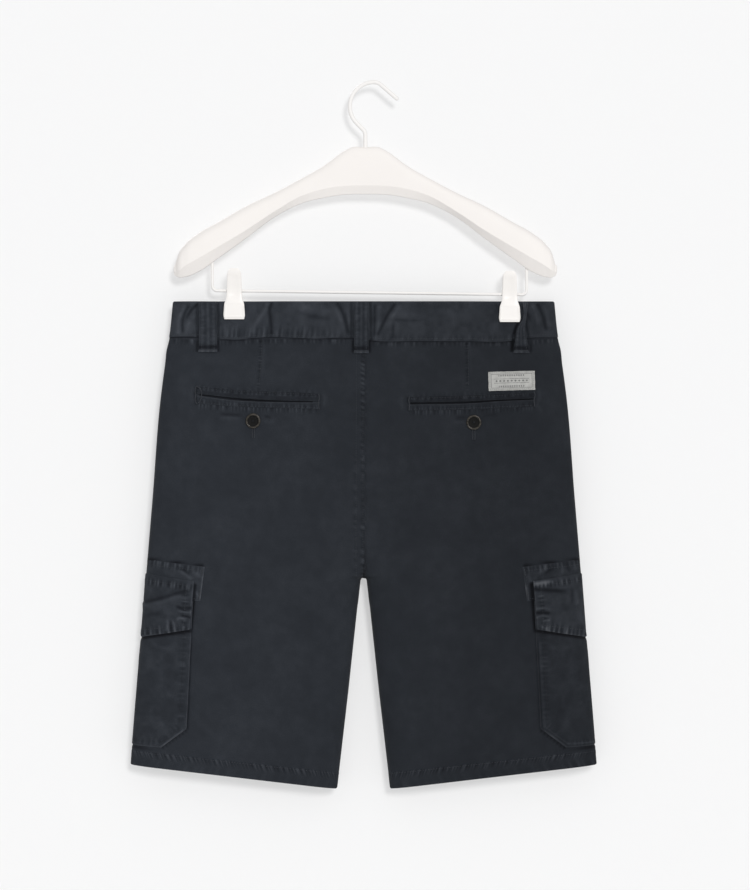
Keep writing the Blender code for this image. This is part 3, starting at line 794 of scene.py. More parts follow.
BACK_RIGHT_CREASES = (
    (((119, 46), (119.6, 75), (120, 104)), 1.5, -0.32, -0.12, (0, 0.3)),
    (((122.6, 47), (123, 75), (123, 100)), 2.4, 0.28, 0.07, (0, 0.4)),
    # painted shade in the pocket's slit, under the upper welt
    (((52, 118), (122, 116.8), (158, 115.0), (197, 113.4)), 1.6, -1.2, -0.95, (0.02, 0.02)),
    (((104.6, 136), (112, 135), (120, 134.9)), 1.7, -0.5, -0.30),
    (((102, 139.4), (111, 139), (119, 139.6)), 2.3, 0.40, 0.14),
    (((136, 134), (146, 131.8), (158, 131.5)), 2.0, -0.4, -0.20),
    (((201, 100), (203.5, 110), (200, 121)), 2.4, 0.5, 0.16),
    (((197, 118), (203, 123), (208, 130)), 2.0, 0.4, 0.20),
    (((46, 106), (43.5, 116), (46, 128)), 2.4, 0.45, 0.12),
    (((214, 60), (218, 120), (223, 190)), 12, 0.9, 0.03),
    (((88, 155), (96, 220), (90, 290)), 22, 0.8, 0.02),
    (((24, 60), (30, 140), (22, 220)), 12, -0.8, -0.04),
    (((8, 300), (36, 332), (70, 352)), 12, 0.8, 0.03, (0.1, 0.5)),
    (((10, 322), (48, 360), (84, 384)), 9, -0.6, -0.03, (0.1, 0.5)),
    # painted shadows beside the cargo flap's and bag's edges: this line and the next three
    (((194.4, 326), (199.0, 380)), 2.2, -0.2, -1.5, (0.1, 0)),
    (((199.0, 380), (203.6, 495)), 1.0, -0.2, -0.25, (0, 0)),
    (((203.8, 496), (233.6, 518.0)), 1.1, -0.2, -0.70, (0, 0)),
    (((233.6, 518.0), (272, 515.8)), 1.1, -0.2, -0.80, (0, 0)),
    (((183, 306.4), (220, 302.2), (262, 297.6)), 1.1, -0.2, -0.75, (0.05, 0)),
    # painted shadows beside the belt loops, below the band: this line and the next two
    (((173.0, 46), (171.4, 59)), 1.6, -0.3, -1.2, (0, 0.05)),
    (((193.6, 46), (194.2, 60)), 1.2, -0.2, -0.6, (0, 0.1)),
    (((7.2, 46), (7.4, 60)), 1.2, -0.2, -0.7, (0, 0.1)),
    (((150, 400), (142, 460), (150, 525)), 20, 0.8, 0.02),
    (((62, 400), (70, 460), (62, 530)), 16, -0.6, -0.02),
)
BACK_RIGHT_GATHERS = (
    (((8, 48), (100, 48), (170, 47.5), (222, 44)), 5.0, (1.5, 6.5), 0.40, 0.46, 21),
    (((119, 46), (119.6, 75), (120, 104)), 3.0, (3.0, 3.0), 0.18, 0.40, 25),
    (((119, 46), (119.4, 58)), 2.8, (2.4, 2.4), 0.2, 0.30, 26),
    (((52, 127), (122, 125.6), (198, 121.8)), 4.0, (1.5, 8.0), 0.42, 0.50, 22),
    (((53, 110.8), (122, 109), (196, 106.4)), 5.4, (7, 1.5), 0.30, 0.18, 23),
    (((1.5, 62), (1.5, 322)), 6.0, (3.5, 0.5), 0.25, 0.15, 24),
)
FRONT_CREASES = (
    (((-20, 215), (-60, 235), (-105, 240)), 9, 0.8, 0.05, (0.1, 0.5)),
    (((20, 214), (62, 238), (110, 244)), 9, 0.8, 0.05, (0.1, 0.5)),
    (((-14, 250), (-50, 285), (-88, 300)), 9, -0.7, -0.04, (0.1, 0.5)),
    (((14, 252), (52, 288), (86, 306)), 9, -0.7, -0.04, (0.1, 0.5)),
    (((-150, 120), (-160, 260), (-152, 400)), 20, 0.9, 0.02),
    (((146, 130), (158, 260), (150, 410)), 20, 0.9, 0.02),
    (((-70, 380), (-76, 450), (-68, 520)), 16, -0.6, -0.02),
    (((72, 380), (78, 450), (70, 520)), 16, -0.6, -0.02),
)
FRONT_GATHERS = (
    (((-222, 45), (-20, 46)), 6.6, (1.5, 10), 0.40, 0.26, 31),
    (((20, 46), (222, 45)), 6.6, (1.5, 10), 0.40, 0.26, 32),
    (((0.8, 214), (0.8, 322)), 5.5, (4, 4), 0.5, 0.36, 33, 0.3),
)
PANEL_RELIEF = {
    (BACK, -1): (BACK_LEFT_CREASES, BACK_LEFT_GATHERS),
    (BACK, 1): (BACK_RIGHT_CREASES, BACK_RIGHT_GATHERS),
    (FRONT, -1): (FRONT_CREASES, FRONT_GATHERS),
    (FRONT, 1): (FRONT_CREASES, FRONT_GATHERS),
}
print("creases on the back:", len(BACK_LEFT_CREASES) + len(BACK_RIGHT_CREASES))

# %% Panel helper
BAND_EDGE = (  # x, drop of the lower edge, in mm
    (-226, 41.6), (-205, 41.2), (-165, 43.8), (-147, 44.8), (-128, 42.8), (-106, 41.6), (-80, 42.6),
    (-58, 43.6), (-20, 42.6), (0, 44.2), (12, 46.0), (60, 46.4), (120, 46.6), (168, 46.4), (192, 42.6),
    (226, 42.0),
)
PANEL_WALL = 0.0013
HEM = 0.0176  # depth of the turned hem
SIDE_LAP = 0.0013
LEFT_OVER_RIGHT = 0.0017
TUCK = 2.0  # how far the side of a panel sinks under a cargo pocket, in mm


def leg_row(level, side, face, start, laps, dense=420):
    """A panel's row from its inner edge to the side, with the laps of a back panel."""
    share = max(level - CROTCH_DROP, 0.0) / (HEM_DROP_INSEAM - CROTCH_DROP)
    side_drop = level - share * (HEM_DROP_INSEAM - HEM_DROP_SIDE)
    high = float(half_width(np.array(side_drop)))
    low = float(inseam(level)) if level > CROTCH_DROP else start
    x = low + (high - low) * (1 - np.cos(np.linspace(0, math.pi, dense))) / 2
    drop = side_drop + (level - side_drop) * (high - x) / (high - low)
    line = skin(side * x, drop, face)
    if not laps:
        return line
    lap = SIDE_LAP * np.array([side * 0.2, -face, 0])
    inner_lap = SIDE_LAP * float(ease((level - CROTCH_DROP) / 0.008)) * np.array([-side * 0.2, -face, 0])
    return np.concatenate([[line[0] + inner_lap], line, [line[-1] + lap]])


def make_panel(name, side, face, columns, levels, start, node):
    shares = np.linspace(0, 1, columns)
    points = np.stack([evenly(leg_row(level, side, face, start, face == BACK), shares) for level in levels])
    outwards = face_directions(points, side * 0.13)
    x, drop = to_mm(points)
    height, tone = relief(x, drop, *PANEL_RELIEF[face, side])
    edge = np.minimum(np.abs(side * half_width(drop / 1000) * 1000 - x) / 14, 1)  # the side seams stay put
    height = height * edge + (0.0 if face == BACK else -0.15)
    level_mm = 1000 * np.asarray(levels)[:, None]
    beside = ease((np.abs(x) - half_width(drop / 1000) * 1000 + 24) / 15)
    height = height - TUCK * beside * ease((level_mm - 303) / 5) * ease((515 - drop) / 4)
    if face == BACK:  # the waist seam is a dark line
        under = drop - smooth_line(BAND_EDGE, 1, x) - 0.5
        tone = tone - 0.58 * np.exp(-((under / 0.7) ** 2)) - 0.15 * (under < 0)
    tone = tone + 0.03 * mottle(x, drop, 18, 3) + 0.03 * mottle(x, drop, 5, 4)
    if side == 1 and face == BACK:  # the right panel runs under the left one's lap
        height = height - 0.75 * (1 - ease((x - 1.0) / 5.0)) * (drop < 1000 * CROTCH_DROP)
    piece, _ = lay_cloth(name, points, outwards, height, tone, PANEL_WALL)
    dress(piece, twill, "twill", node)


hem_start = HEM_DROP_INSEAM - HEM * (HEM_DROP_INSEAM - CROTCH_DROP) / (HEM_DROP_SIDE - CROTCH_DROP)
back_levels = np.concatenate([
    np.arange(0.0385, 0.1360, 0.0016), np.arange(0.1360, 0.3120, 0.0034), np.arange(0.3120, 0.3260, 0.0011),
    np.linspace(0.3260, hem_start + 0.0030, 66)])
front_levels = np.concatenate([
    np.arange(0.0385, 0.0640, 0.0026), np.arange(0.0640, 0.3100, 0.0050), np.arange(0.3100, 0.3270, 0.0016),
    np.linspace(0.3270, hem_start + 0.0030, 50)])
print("rows down the back:", len(back_levels), "and the front:", len(front_levels))

# %% The four panels
FACES, SIDES = {"back": BACK, "front": FRONT}, {"left": -1, "right": 1}
PANELS = (  # face, half, columns, rows, where the inner edge starts
    ("back", "left", 164, back_levels, -LEFT_OVER_RIGHT),
    ("back", "right", 164, back_levels, -0.0030),
    ("front", "left", 86, front_levels, -0.0010),
    ("front", "right", 86, front_levels, -0.0020),
)
for face_name, half, columns, levels, start in PANELS:
    make_panel(f"{face_name}_{half}_cloth", SIDES[half], FACES[face_name], columns, levels, start,
               f"{face_name}_panel_{half}")

# %% [markdown]
# ## Hems
# Each leg ends in a hem turned up inside and stitched down. The turn is a ring of thicker cloth round
# the leg, standing a hair proud. The stitches gather it into small slanting ropes, which is why a washed
# hem looks striped. It could be part of the panels, but a ring of its own can have finer squares.

# %% Hems
HEM_WALL = 0.0024
HEM_MM = 17.6
HEM_COLUMNS, HEM_ROWS = 400, 15


def hem_row(share, side, dense=700):
    """A ring round the leg: back from the inseam to the side, and front back to the inseam."""
    level = hem_start + (HEM_DROP_INSEAM - hem_start) * share
    down = (level - CROTCH_DROP) / (HEM_DROP_INSEAM - CROTCH_DROP)
    side_drop = CROTCH_DROP + down * (HEM_DROP_SIDE - CROTCH_DROP)
    high, low = float(half_width(np.array(side_drop))), float(inseam(level))
    turn = np.linspace(0, 2 * math.pi, dense)
    x = low + (high - low) * (1 - np.cos(turn)) / 2
    drop = side_drop + (level - side_drop) * (high - x) / (high - low)
    return np.where((turn < math.pi)[:, None], skin(side * x, drop, BACK), skin(side * x, drop, FRONT))


def make_hem(name, side, seed):
    shares = np.linspace(0, 1, HEM_COLUMNS)
    points = np.stack([evenly(hem_row(s, side), shares) for s in np.linspace(0, 1, HEM_ROWS)])
    outwards = face_directions(points, side * 0.14)
    around = share_of(points.shape, 1, 0, 512)
    down = share_of(points.shape, 0, 0, HEM_MM)
    rope = gathers(around, down, ((-5, 1.6), (517, 1.6)), 3.4, (2.5, 8), seed, 0.55)
    wave = gathers(around, down, ((-5, 17), (517, 17)), 9.0, (14, 3), seed + 1, -0.4)
    height = 0.32 + 0.26 * rope + 0.30 * wave
    height = height - 0.9 * (1 - rounding(HEM_MM - down, 1.4)) - 0.32 * (1 - rounding(down, 1.3))
    # the ropes' ridges are worn lighter and their troughs painted darker as shade
    tone = 0.55 * rope + 0.12 * wave + 0.10 * ease((down - 15.5) / 2)
    if side == 1:
        tone = tone + 0.30 * wave * ease((to_mm(points)[0] - 225) / 25)
    piece, final = lay_cloth(name, points, outwards, height, tone, HEM_WALL)
    dress(piece, twill, "twill")
    line = np.linspace(2, HEM_COLUMNS - 3, 900)
    sew(name + "_stitches", [line_on(final, outwards, 1.4, line)], thread, 0.0031)


make_hem("left_hem", -1, 41)
make_hem("right_hem", 1, 45)

# %% [markdown]
# ## Waistband
# The waistband is a stiffened strip of doubled cloth. Its lower edge dips and rises along the seam, it
# is creased between the belt loops where it was folded and pressed, and it is pinched flat under the
# clips. Its edges roll in over a millimetre or so. The back is one piece, and the front is two that lap
# at the fly.

# %% Waistband
BAND_WALL = 0.0022
BAND_TONE = 0.20  # the band is worn lighter than the panels
BAND_CREASES = (
    (((-206, 3), (-213.6, 22), (-214, 40)), 2.5, 0.9, 0.24, (0.1, 0.1), 0.4),
    (((-202, 4), (-209.4, 20), (-209.6, 38)), 1.5, -0.8, -0.45, (0.1, 0.1)),
    (((-191.5, 2), (-201, 12), (-207, 24)), 1.7, -0.9, -0.55, (0.05, 0.4)),
    (((-193, 14), (-203, 26), (-206, 40)), 2.4, 0.6, 0.20, (0.2, 0.1)),
    # painted shadows beside the back left belt loop: this line and the next
    (((-193.6, 3), (-193.2, 24), (-193.0, 44)), 1.4, -0.6, -0.35, (0.05, 0)),
    (((-168.8, 1), (-168.4, 20), (-168.2, 44)), 1.4, -0.6, -0.35, (0.05, 0)),
    (((-162, 24), (-161, 34), (-161.5, 43)), 2.2, 0.5, 0.16),
    (((-110, 1), (-115, 12), (-126, 28), (-128, 39)), 2.9, 1.0, 0.26, (0.05, 0.1), 0.3),
    (((-106, 1), (-109, 10), (-107.6, 26), (-107, 40)), 1.7, -0.9, -0.55, (0.05, 0.1)),
    (((-102, 6), (-101, 22), (-102, 38)), 2.8, 0.4, 0.10),
    (((-86, 3), (-60, 11), (-30, 13)), 5.5, 0.5, 0.14, (0.3, 0.3), -0.4),
    (((-84, 9), (-60, 18), (-30, 21)), 2.4, -0.4, -0.20),
    (((-31, 1), (-23, 16), (-17.4, 39)), 1.9, -0.9, -0.50, (0.05, 0.1)),
    (((-37, 2), (-28, 18), (-23, 38)), 2.6, 0.7, 0.18, (0.1, 0.2)),
    # painted shadows beside the centre belt loop: this line and the second one below
    (((-14.4, 0), (-14, 20), (-14, 43)), 1.3, -0.9, -0.45, (0, 0)),
    (((-19.5, 4), (-17.6, 16), (-16.6, 30)), 1.8, 0.5, 0.20),
    (((7.6, 1), (8.3, 20), (8.5, 45)), 1.3, -0.9, -0.40, (0, 0)),
    (((12.9, 2), (12.6, 22), (12.4, 42)), 1.3, -0.5, -0.45, (0.1, 0.1)),
    (((17.8, 3), (17.4, 22), (16.5, 40)), 2.4, 0.8, 0.22, (0.1, 0.2)),
    (((37, 2), (26, 18.6), (15.5, 41)), 1.8, -0.9, -0.50, (0.05, 0.1)),
    (((43, 3), (33, 18), (25, 34)), 3.0, 0.8, 0.18, (0.1, 0.3)),
    (((34.5, 22), (34, 34), (34.5, 46)), 1.8, -0.5, -0.32),
    (((26, 14), (50, 15), (74, 15)), 6.0, 0.5, 0.12, (0.3, 0.3), -0.4),
    (((26, 21), (50, 22.4), (76, 22)), 2.0, -0.4, -0.20),
    (((96, 6), (104, 20), (102, 40)), 3.0, 0.5, 0.10),
    (((152, 2), (156, 7), (160, 12)), 1.8, -0.6, -0.35),
    # painted shadows beside the back right belt loop: this line and the next
    (((181.6, 19), (176.2, 31), (174.0, 39), (173.2, 48)), 1.3, -0.8, -1.2, (0.3, 0)),
    (((189.2, 20), (188.9, 28), (190.8, 38), (192.8, 48)), 1.1, -0.6, -0.5, (0.1, 0)),
    (((184.4, 2), (190, 16), (195, 26)), 1.7, -0.8, -0.45, (0.05, 0.4)),
    (((195, 3), (200, 16), (203, 32)), 2.4, 0.8, 0.20, (0.1, 0.3)),
    (((201, 2), (207.6, 17), (212, 36)), 1.7, -0.9, -0.50, (0.05, 0.2)),
    (((208, 3), (213, 18), (216, 34)), 2.2, 0.7, 0.18, (0.1, 0.3)),
)
BAND_GATHERS = (
    (((-200, 41), (-165, 41.5), (-106, 40), (-20, 41)), 6.6, (15, 1.5), 0.50, 0.24, 51, 0.05),
    (((-168, 41), (-112, 40.5), (-58, 42)), 5.2, (17, 1.5), 0.50, 0.36, 57, 0.1),
    (((8, 44.5), (100, 44.5), (172, 44)), 6.4, (9, 1.5), 0.40, 0.24, 52),
    (((-215, 2.8), (-20, 2.8)), 8.0, (2.0, 8.0), 0.26, 0.10, 53),
    (((12, 2.8), (215, 2.8)), 8.0, (2.0, 8.0), 0.26, 0.10, 54),
)
FRONT_BAND_CREASES = (
    (((-204, 3), (-210, 20), (-208, 39)), 2.4, 0.8, 0.20),
    (((-150, 2), (-144, 20), (-150, 40)), 3.2, 0.5, 0.08),
    (((-76, 2), (-70, 20), (-62, 40)), 1.8, -0.8, -0.42),
    (((-110, 2), (-114, 22), (-108, 40)), 2.0, -0.7, -0.36),
    (((-44, 4), (-40, 22), (-44, 40)), 3.2, 0.6, 0.10),
    (((204, 3), (210, 20), (207, 39)), 2.4, 0.8, 0.20),
    (((140, 2), (148, 20), (143, 40)), 3.2, 0.5, 0.08),
    (((74, 2), (68, 20), (62, 40)), 1.8, -0.8, -0.42),
    (((110, 2), (116, 22), (110, 40)), 2.0, -0.7, -0.36),
    (((40, 4), (44, 22), (38, 40)), 3.2, 0.6, 0.10),
)
FRONT_BAND_GATHERS = (
    (((-215, 41), (-14, 41)), 7.2, (11, 1.5), 0.40, 0.20, 55),
    (((14, 41), (215, 41)), 7.2, (11, 1.5), 0.40, 0.20, 56),
)


def band_row(share, low, high, face, dense=900):
    """A row of the waistband. low or high is None where it goes round to the side seam."""
    half = float(half_width(np.array(0.043 * share)))
    start = -half if low is None else low
    end = half if high is None else high
    x = start + (end - start) * (1 - np.cos(np.linspace(0, math.pi, dense))) / 2
    rows = np.array(BAND_EDGE)
    edge = smooth_line(rows, 1, 1000 * x) / 1000 if face == BACK else np.full(x.shape, 0.043)
    line = skin(x, share * edge, face)
    if face == BACK:
        lap = SIDE_LAP
        line = np.concatenate([[line[0] + [-0.2 * lap, lap, 0]], line, [line[-1] + [0.2 * lap, lap, 0]]])
    return line


def make_band(name, low, high, face, columns, node, creases, rows, proud):
    shares = np.linspace(0, 1, columns)
    points = np.stack([evenly(band_row(s, low, high, face), shares) for s in np.linspace(0, 1, 36)])
    middle = 0.0 if low is None and high is None else (0.1 if low is not None else -0.1)
    outwards = face_directions(points, middle)
    x, drop = to_mm(points)
    height, tone = relief(x, drop, creases, rows)
    for centre, reach in CLIPS:  # pressed flat between the jaws
        calm = ease((np.abs(x - 1000 * centre) - 11) / 8)
        height = height * (1 - (1 - calm) * (drop < 1000 * reach + 6))
    foot = drop[-1]
    height = height * ease((foot - drop) / 3 + 0.35) * ease(drop / 3 + 0.25) + proud
    height = height - 1.3 * (1 - rounding(drop, 1.9)) - 0.8 * (1 - rounding(foot - drop, 1.5))
    tone = tone + BAND_TONE + 0.16 * (1 - ease(drop / 2.2)) + 0.06 * (1 - ease((foot - drop) / 2.4))
    tone = tone + 0.10 * mottle(x, drop, 13, 5) + 0.09 * mottle(x, drop, 5, 6)
    piece, final = lay_cloth(name, points, outwards, height, tone, BAND_WALL)
    dress(piece, twill, "twill", node)
    line = np.linspace(1, columns - 2, 1200)
    runs = [line_on(final, outwards, row, line) for row in (2.3, 32.6)]
    sew(name + "_stitches", runs, thread, 0.0031)


make_band("back_waistband", None, None, BACK, 330, "waistband_back", BAND_CREASES, BAND_GATHERS, 0.55)
for half, low, high, proud in (("left", None, 0.0015, 0.70), ("right", -0.0050, None, -0.9)):
    make_band(f"front_{half}_waistband", low, high, FRONT, 150, f"waistband_front_{half}",
              FRONT_BAND_CREASES, FRONT_BAND_GATHERS, proud)

# %% [markdown]
# ## Laying pieces on a panel
# Pockets, loops, buttons and the label are sewn onto the shorts, so they follow the panel under them,
# creases and all. A place on the panel is the form plus the panel's relief there, along the direction
# that the cloth faces.

# %% Places on the panels


def on_cloth(x, drop, face, lift=0.0):
    """Places and outward directions on the cloth at x and drop, with lift in mm."""
    x, drop = np.broadcast_arrays(np.asarray(x, float), np.asarray(drop, float))
    step = 0.0006
    across = skin(x + step, drop, face) - skin(x - step, drop, face)
    down = skin(x, drop + step, face) - skin(x, drop - step, face)
    outwards = np.cross(across, down)
    outwards /= np.linalg.norm(outwards, axis=-1, keepdims=True)
    outwards *= np.sign(outwards[..., 1:2] * face)
    side = -1 if x.mean() < 0 else 1
    height, _ = relief(1000 * x, 1000 * drop, *PANEL_RELIEF[face, side])
    return skin(x, drop, face) + outwards * ((height + lift)[..., None] / 1000), outwards


def between_lines(top, bottom, rows, columns):
    """x and drop of a grid between two bent lines of (x, drop), in mm."""
    def sample(line):
        line = np.array(line, float)
        run = distances(line)
        at = np.linspace(0, run[-1], columns)
        return np.stack([smooth_line(np.stack([run, line[:, k]], 1), 1, at) for k in (0, 1)], 1)
    down = np.linspace(0, 1, rows)[:, None, None]
    made = sample(top) * (1 - down) + sample(bottom) * down
    return made[..., 0] / 1000, made[..., 1] / 1000


def stitch_line(points, face, lift, count=200):
    """A run of stitches on the cloth along (x, drop) points in mm."""
    line = rounded_route(points)
    run = distances(line)
    x, drop = walk(line, run, np.linspace(0, run[-1], count)).T / 1000
    return on_cloth(x, drop, face, lift)


def sew_across(name, runs, width, pitch=0.00048):
    """Stitches laid side by side across each run, as on a bartack."""
    turned = []
    for places, outwards in runs:
        run = distances(places)
        for k, at in enumerate(np.arange(pitch / 2, run[-1], pitch)):
            p, n = walk(places, run, at), walk(outwards, run, at)
            t = walk(places, run, at + 0.0004) - walk(places, run, at - 0.0004)
            t = t / max(np.linalg.norm(t), 1e-12)
            w = np.cross(n, t)
            w = w / np.linalg.norm(w) + t * (0.12 if k % 2 else -0.12)
            half = width * (0.5 + 0.06 * ((k * 7) % 5 - 2) / 2)
            turned.append((np.stack([p - w * half, p + w * half]), np.stack([n, n])))
    sew(name, turned, thread, pitch=width, length=width * 1.05, thread_size=0.00055, sink=0.1)


def bartack(name, lines, lift, width):
    """Dense stitches across short lines of (x, drop) in mm on the back."""
    sew_across(name, [stitch_line(line, BACK, lift, 40) for line in lines], width / 1000)


# %% [markdown]
# ## Welt pockets
# Each back pocket is a slit with a narrow strip of folded cloth above it and a thinner one below. The
# upper strip overhangs the slit and keeps it dark, and the slit's dark line on the panel is also painted
# shade. Bartacks close both ends, and small gathers stand along the stitches. The strips are thin cut
# pieces with rolled edges.

# %% Welt pockets
WELT_WALL = 0.0010
WELT_ROWS, WELT_COLUMNS = 10, 122
WELTS = {  # top of the upper strip, edges of the slit, bottom of the lower strip, in mm
    "left": {
        "upper": (((-193.4, 97.6), (-152, 102.0), (-58, 106.6), (-50.4, 107.3)),
                  ((-193.2, 107.2), (-150, 112.0), (-120, 114.1), (-58, 115.9), (-50.4, 116.0))),
        "lower": (((-192.8, 109.3), (-150, 115.0), (-120, 116.5), (-58, 117.2), (-50.4, 117.1)),
                  ((-192.6, 118.6), (-138, 122.6), (-58, 125.0), (-50.8, 125.4))),
        "seeds": (61, 62),
    },
    "right": {
        "upper": (((50.4, 111.0), (122, 109.2), (199.0, 105.8)),
                  ((51.0, 117.4), (122, 116.1), (158, 114.3), (198.4, 112.9))),
        "lower": (((51.2, 119.8), (122, 118.5), (158, 115.8), (198.2, 114.1)),
                  ((51.6, 126.8), (122, 125.6), (198.0, 122.2))),
        "seeds": (63, 64),
    },
}
for side_name, welt in WELTS.items():
    for part, seed in zip(("upper", "lower"), welt["seeds"]):
        x, drop = between_lines(*welt[part], WELT_ROWS, WELT_COLUMNS)
        places, outwards = on_cloth(x, drop, BACK)
        down = share_of(x.shape, 0)
        along = 1000 * x
        tall = 1000 * (drop[-1] - drop[0])
        if part == "upper":
            rope = gathers(along, down * tall, ((-230, 1.2), (230, 1.2)), 5.0, (2, 6), seed)
            swell = 1.25 + 1.1 * down**2
            roll = rounding((1 - down) * tall, 1.3) * rounding(down * tall, 1.0)
            tone = 0.30 * rope + 0.42 * ease((down - 0.80) / 0.20) + 0.34 * (1 - ease(down / 0.12)) - 0.22
            tone = tone + 0.34 * np.exp(-(((down - 0.42) / 0.10) ** 2)) * (rope > -0.1)
        else:
            rope = gathers(along, (1 - down) * tall, ((-230, 1.4), (230, 1.4)), 4.2, (2, 6), seed)
            swell = 1.25 + 0.5 * (1 - down)
            roll = rounding(down * tall, 1.2) * rounding((1 - down) * tall, 1.0)
            tone = 0.40 * rope + 0.50 * (1 - ease(down / 0.20)) + 0.30 * ease((down - 0.86) / 0.14) - 0.04
        height = swell * (0.35 + 0.65 * roll) + 0.20 * rope
        tone = tone + 0.10 * mottle(along, 1000 * drop, 7, seed)
        tone = tone + 0.08 * mottle(along, 1000 * drop, 3, seed + 9)
        piece, _ = lay_cloth(f"{side_name}_pocket_{part}_welt", places, outwards, height, tone, WELT_WALL)
        dress(piece, twill, "twill", f"welt_{part}_{side_name}")

# %% Pocket stitches and bartacks
sew("left_pocket_stitches", [
    stitch_line(((-190, 100.6), (-152, 104.2), (-56, 108.4)), BACK, 1.45),
    stitch_line(((-189, 117.4), (-138, 121.4), (-54, 123.6)), BACK, 1.35)], thread)
sew("right_pocket_stitches", [
    stitch_line(((54, 112.6), (122, 110.8), (196, 107.4)), BACK, 1.45),
    stitch_line(((54, 125.4), (122, 124.2), (196, 120.8)), BACK, 1.35)], thread)
bartack("left_pocket_bartacks", (
    ((-193.6, 99.0), (-195.0, 104), (-194.4, 110), (-195.0, 115), (-193.0, 119.2)),
    ((-193.0, 98.8), (-189.0, 101.5), (-187.6, 107), (-188.2, 113), (-191.0, 118.6)),
    ((-52.0, 107.8), (-51.0, 112), (-52.2, 118), (-51.4, 124.8))), 2.1, 1.5)
bartack("right_pocket_bartacks", (
    ((53.2, 110.8), (52.2, 115), (53.2, 120), (52.6, 126.6)),
    ((197.0, 104.8), (198.4, 109), (197.2, 115), (198.0, 122.2))), 2.1, 1.5)

# %% [markdown]
# ## Seams
# Topstitching runs down the centre of the back, beside the side seams and down the fly. It is what the
# eye reads as a seam from far off, because the cloth between the stitches ripples.

# %% Seam stitches
sew("centre_back_stitches", [
    stitch_line(((-0.7, 50), (-0.7, 316)), BACK, 0.12),
    stitch_line(((-8.4, 50), (-8.6, 180), (-8.8, 318)), BACK, 0.12)], thread, 0.0029)
sew("centre_front_stitches", [
    stitch_line(((-1.8, 216), (-1.8, 318)), FRONT, 0.12)], thread, 0.0029)
sew("dart_stitches", [
    stitch_line(((-117.8, 47), (-119.0, 75), (-121.2, 98)), BACK, 0.15, 60),
    stitch_line(((120.8, 50), (121.2, 75), (121.4, 98)), BACK, 0.15, 60)], thread)

# %% [markdown]
# ## Cargo pockets
# A cargo pocket wraps round each side seam, half on the back and half on the front. From the leg
# outwards it is a facing that shows above the flap, an empty bag with its lower corners cut off, and
# the flap. The flap is the most creased part of the shorts: its edges are gathered along their stitches
# and a few hard folds run into its free corner.

# %% Cargo pocket helper
CARGO_FACING = ((0.2990, 0.1838, 0.3075), (0.3440, 0.1889, 0.3470))  # seam drop, edge x, edge drop
CARGO_FLAP = ((0.3150, 0.1962, 0.3237), (0.3890, 0.2009, 0.3798))
CARGO_BAG = ((0.3460, 0.1973, 0.3475), (0.4955, 0.2048, 0.4950), (0.5140, 0.2340, 0.5165))


def wrapped_row(seam_drop, edge_x, edge_drop, side, dense=420):
    """From the edge on the back, round the side seam, to the edge on the front."""
    high = float(half_width(np.array(seam_drop)))
    turn = np.linspace(0, math.pi, dense)
    x = edge_x + (high - edge_x) * np.sin(turn)
    along = (high - x) / (high - edge_x)
    drop = seam_drop + (edge_drop - seam_drop) * along
    x = side * np.minimum(x, half_width(drop))
    return np.where((turn < math.pi / 2)[:, None], skin(x, drop, BACK), skin(x, drop, FRONT))


def wrapped_grid(edges, side, rows, columns):
    """A grid of places, with rows spread over a table of edges by their drop at the seam."""
    table = np.array(edges)
    at = np.linspace(table[0, 0], table[-1, 0], rows)
    shares = np.linspace(0, 1, columns)
    lines = [[np.interp(d, table[:, 0], table[:, k]) for k in (0, 1, 2)] for d in at]
    return np.stack([evenly(wrapped_row(*line, side), shares) for line in lines])


def make_wrapped(name, edges, side, rows, columns, wall, node, lift, creases, rows_of_gathers, roll,
                 shade=0.0):
    """lift(down, inwards) is the height in mm of the outer face, with down 0 to 1 and inwards 1 at the
    seam. roll is the depth in mm to which the edges turn in."""
    points = wrapped_grid(edges, side, rows, columns)
    outwards = face_directions(points, side * 0.13)
    x, drop = to_mm(points)
    back = (points[..., 1] < 0) | (np.arange(columns) < columns / 2)
    height, tone = relief(x, drop, creases, rows_of_gathers)
    other, other_tone = relief(x - side * 1.4, drop + 2.2, creases, rows_of_gathers)
    height, tone = np.where(back, height, other), np.where(back, tone, other_tone)
    down, share = share_of(x.shape, 0), share_of(x.shape, 1)
    width = 1000 * np.linalg.norm(np.diff(points, axis=1), axis=2).sum(axis=1)[:, None]
    tall = 1000 * (edges[-1][0] - edges[0][0])
    inwards = np.sqrt(np.clip(1 - np.abs(2 * share - 1), 0, 1))
    from_edge = np.minimum(share, 1 - share) * width
    edge = rounding(from_edge, 1.3) * rounding((1 - down) * tall, 1.2)
    if roll[1]:
        edge = edge * rounding(down * tall, 1.3)
    height = height * ease(from_edge / 2.5 + 0.3) + lift(down, inwards) - roll[0] * (1 - edge)
    worn = (1 - ease(from_edge / 2.2)) + (1 - ease((1 - down) * tall / 2.0))
    tone = tone + 0.36 * np.clip(worn, 0, 1) + shade
    tone = tone + 0.08 * mottle(x, drop, 11, 7) + 0.08 * mottle(x, drop, 4, 8)
    piece, final = lay_cloth(name, points, outwards, height, tone, wall)
    dress(piece, twill, "twill", node)
    return final, outwards


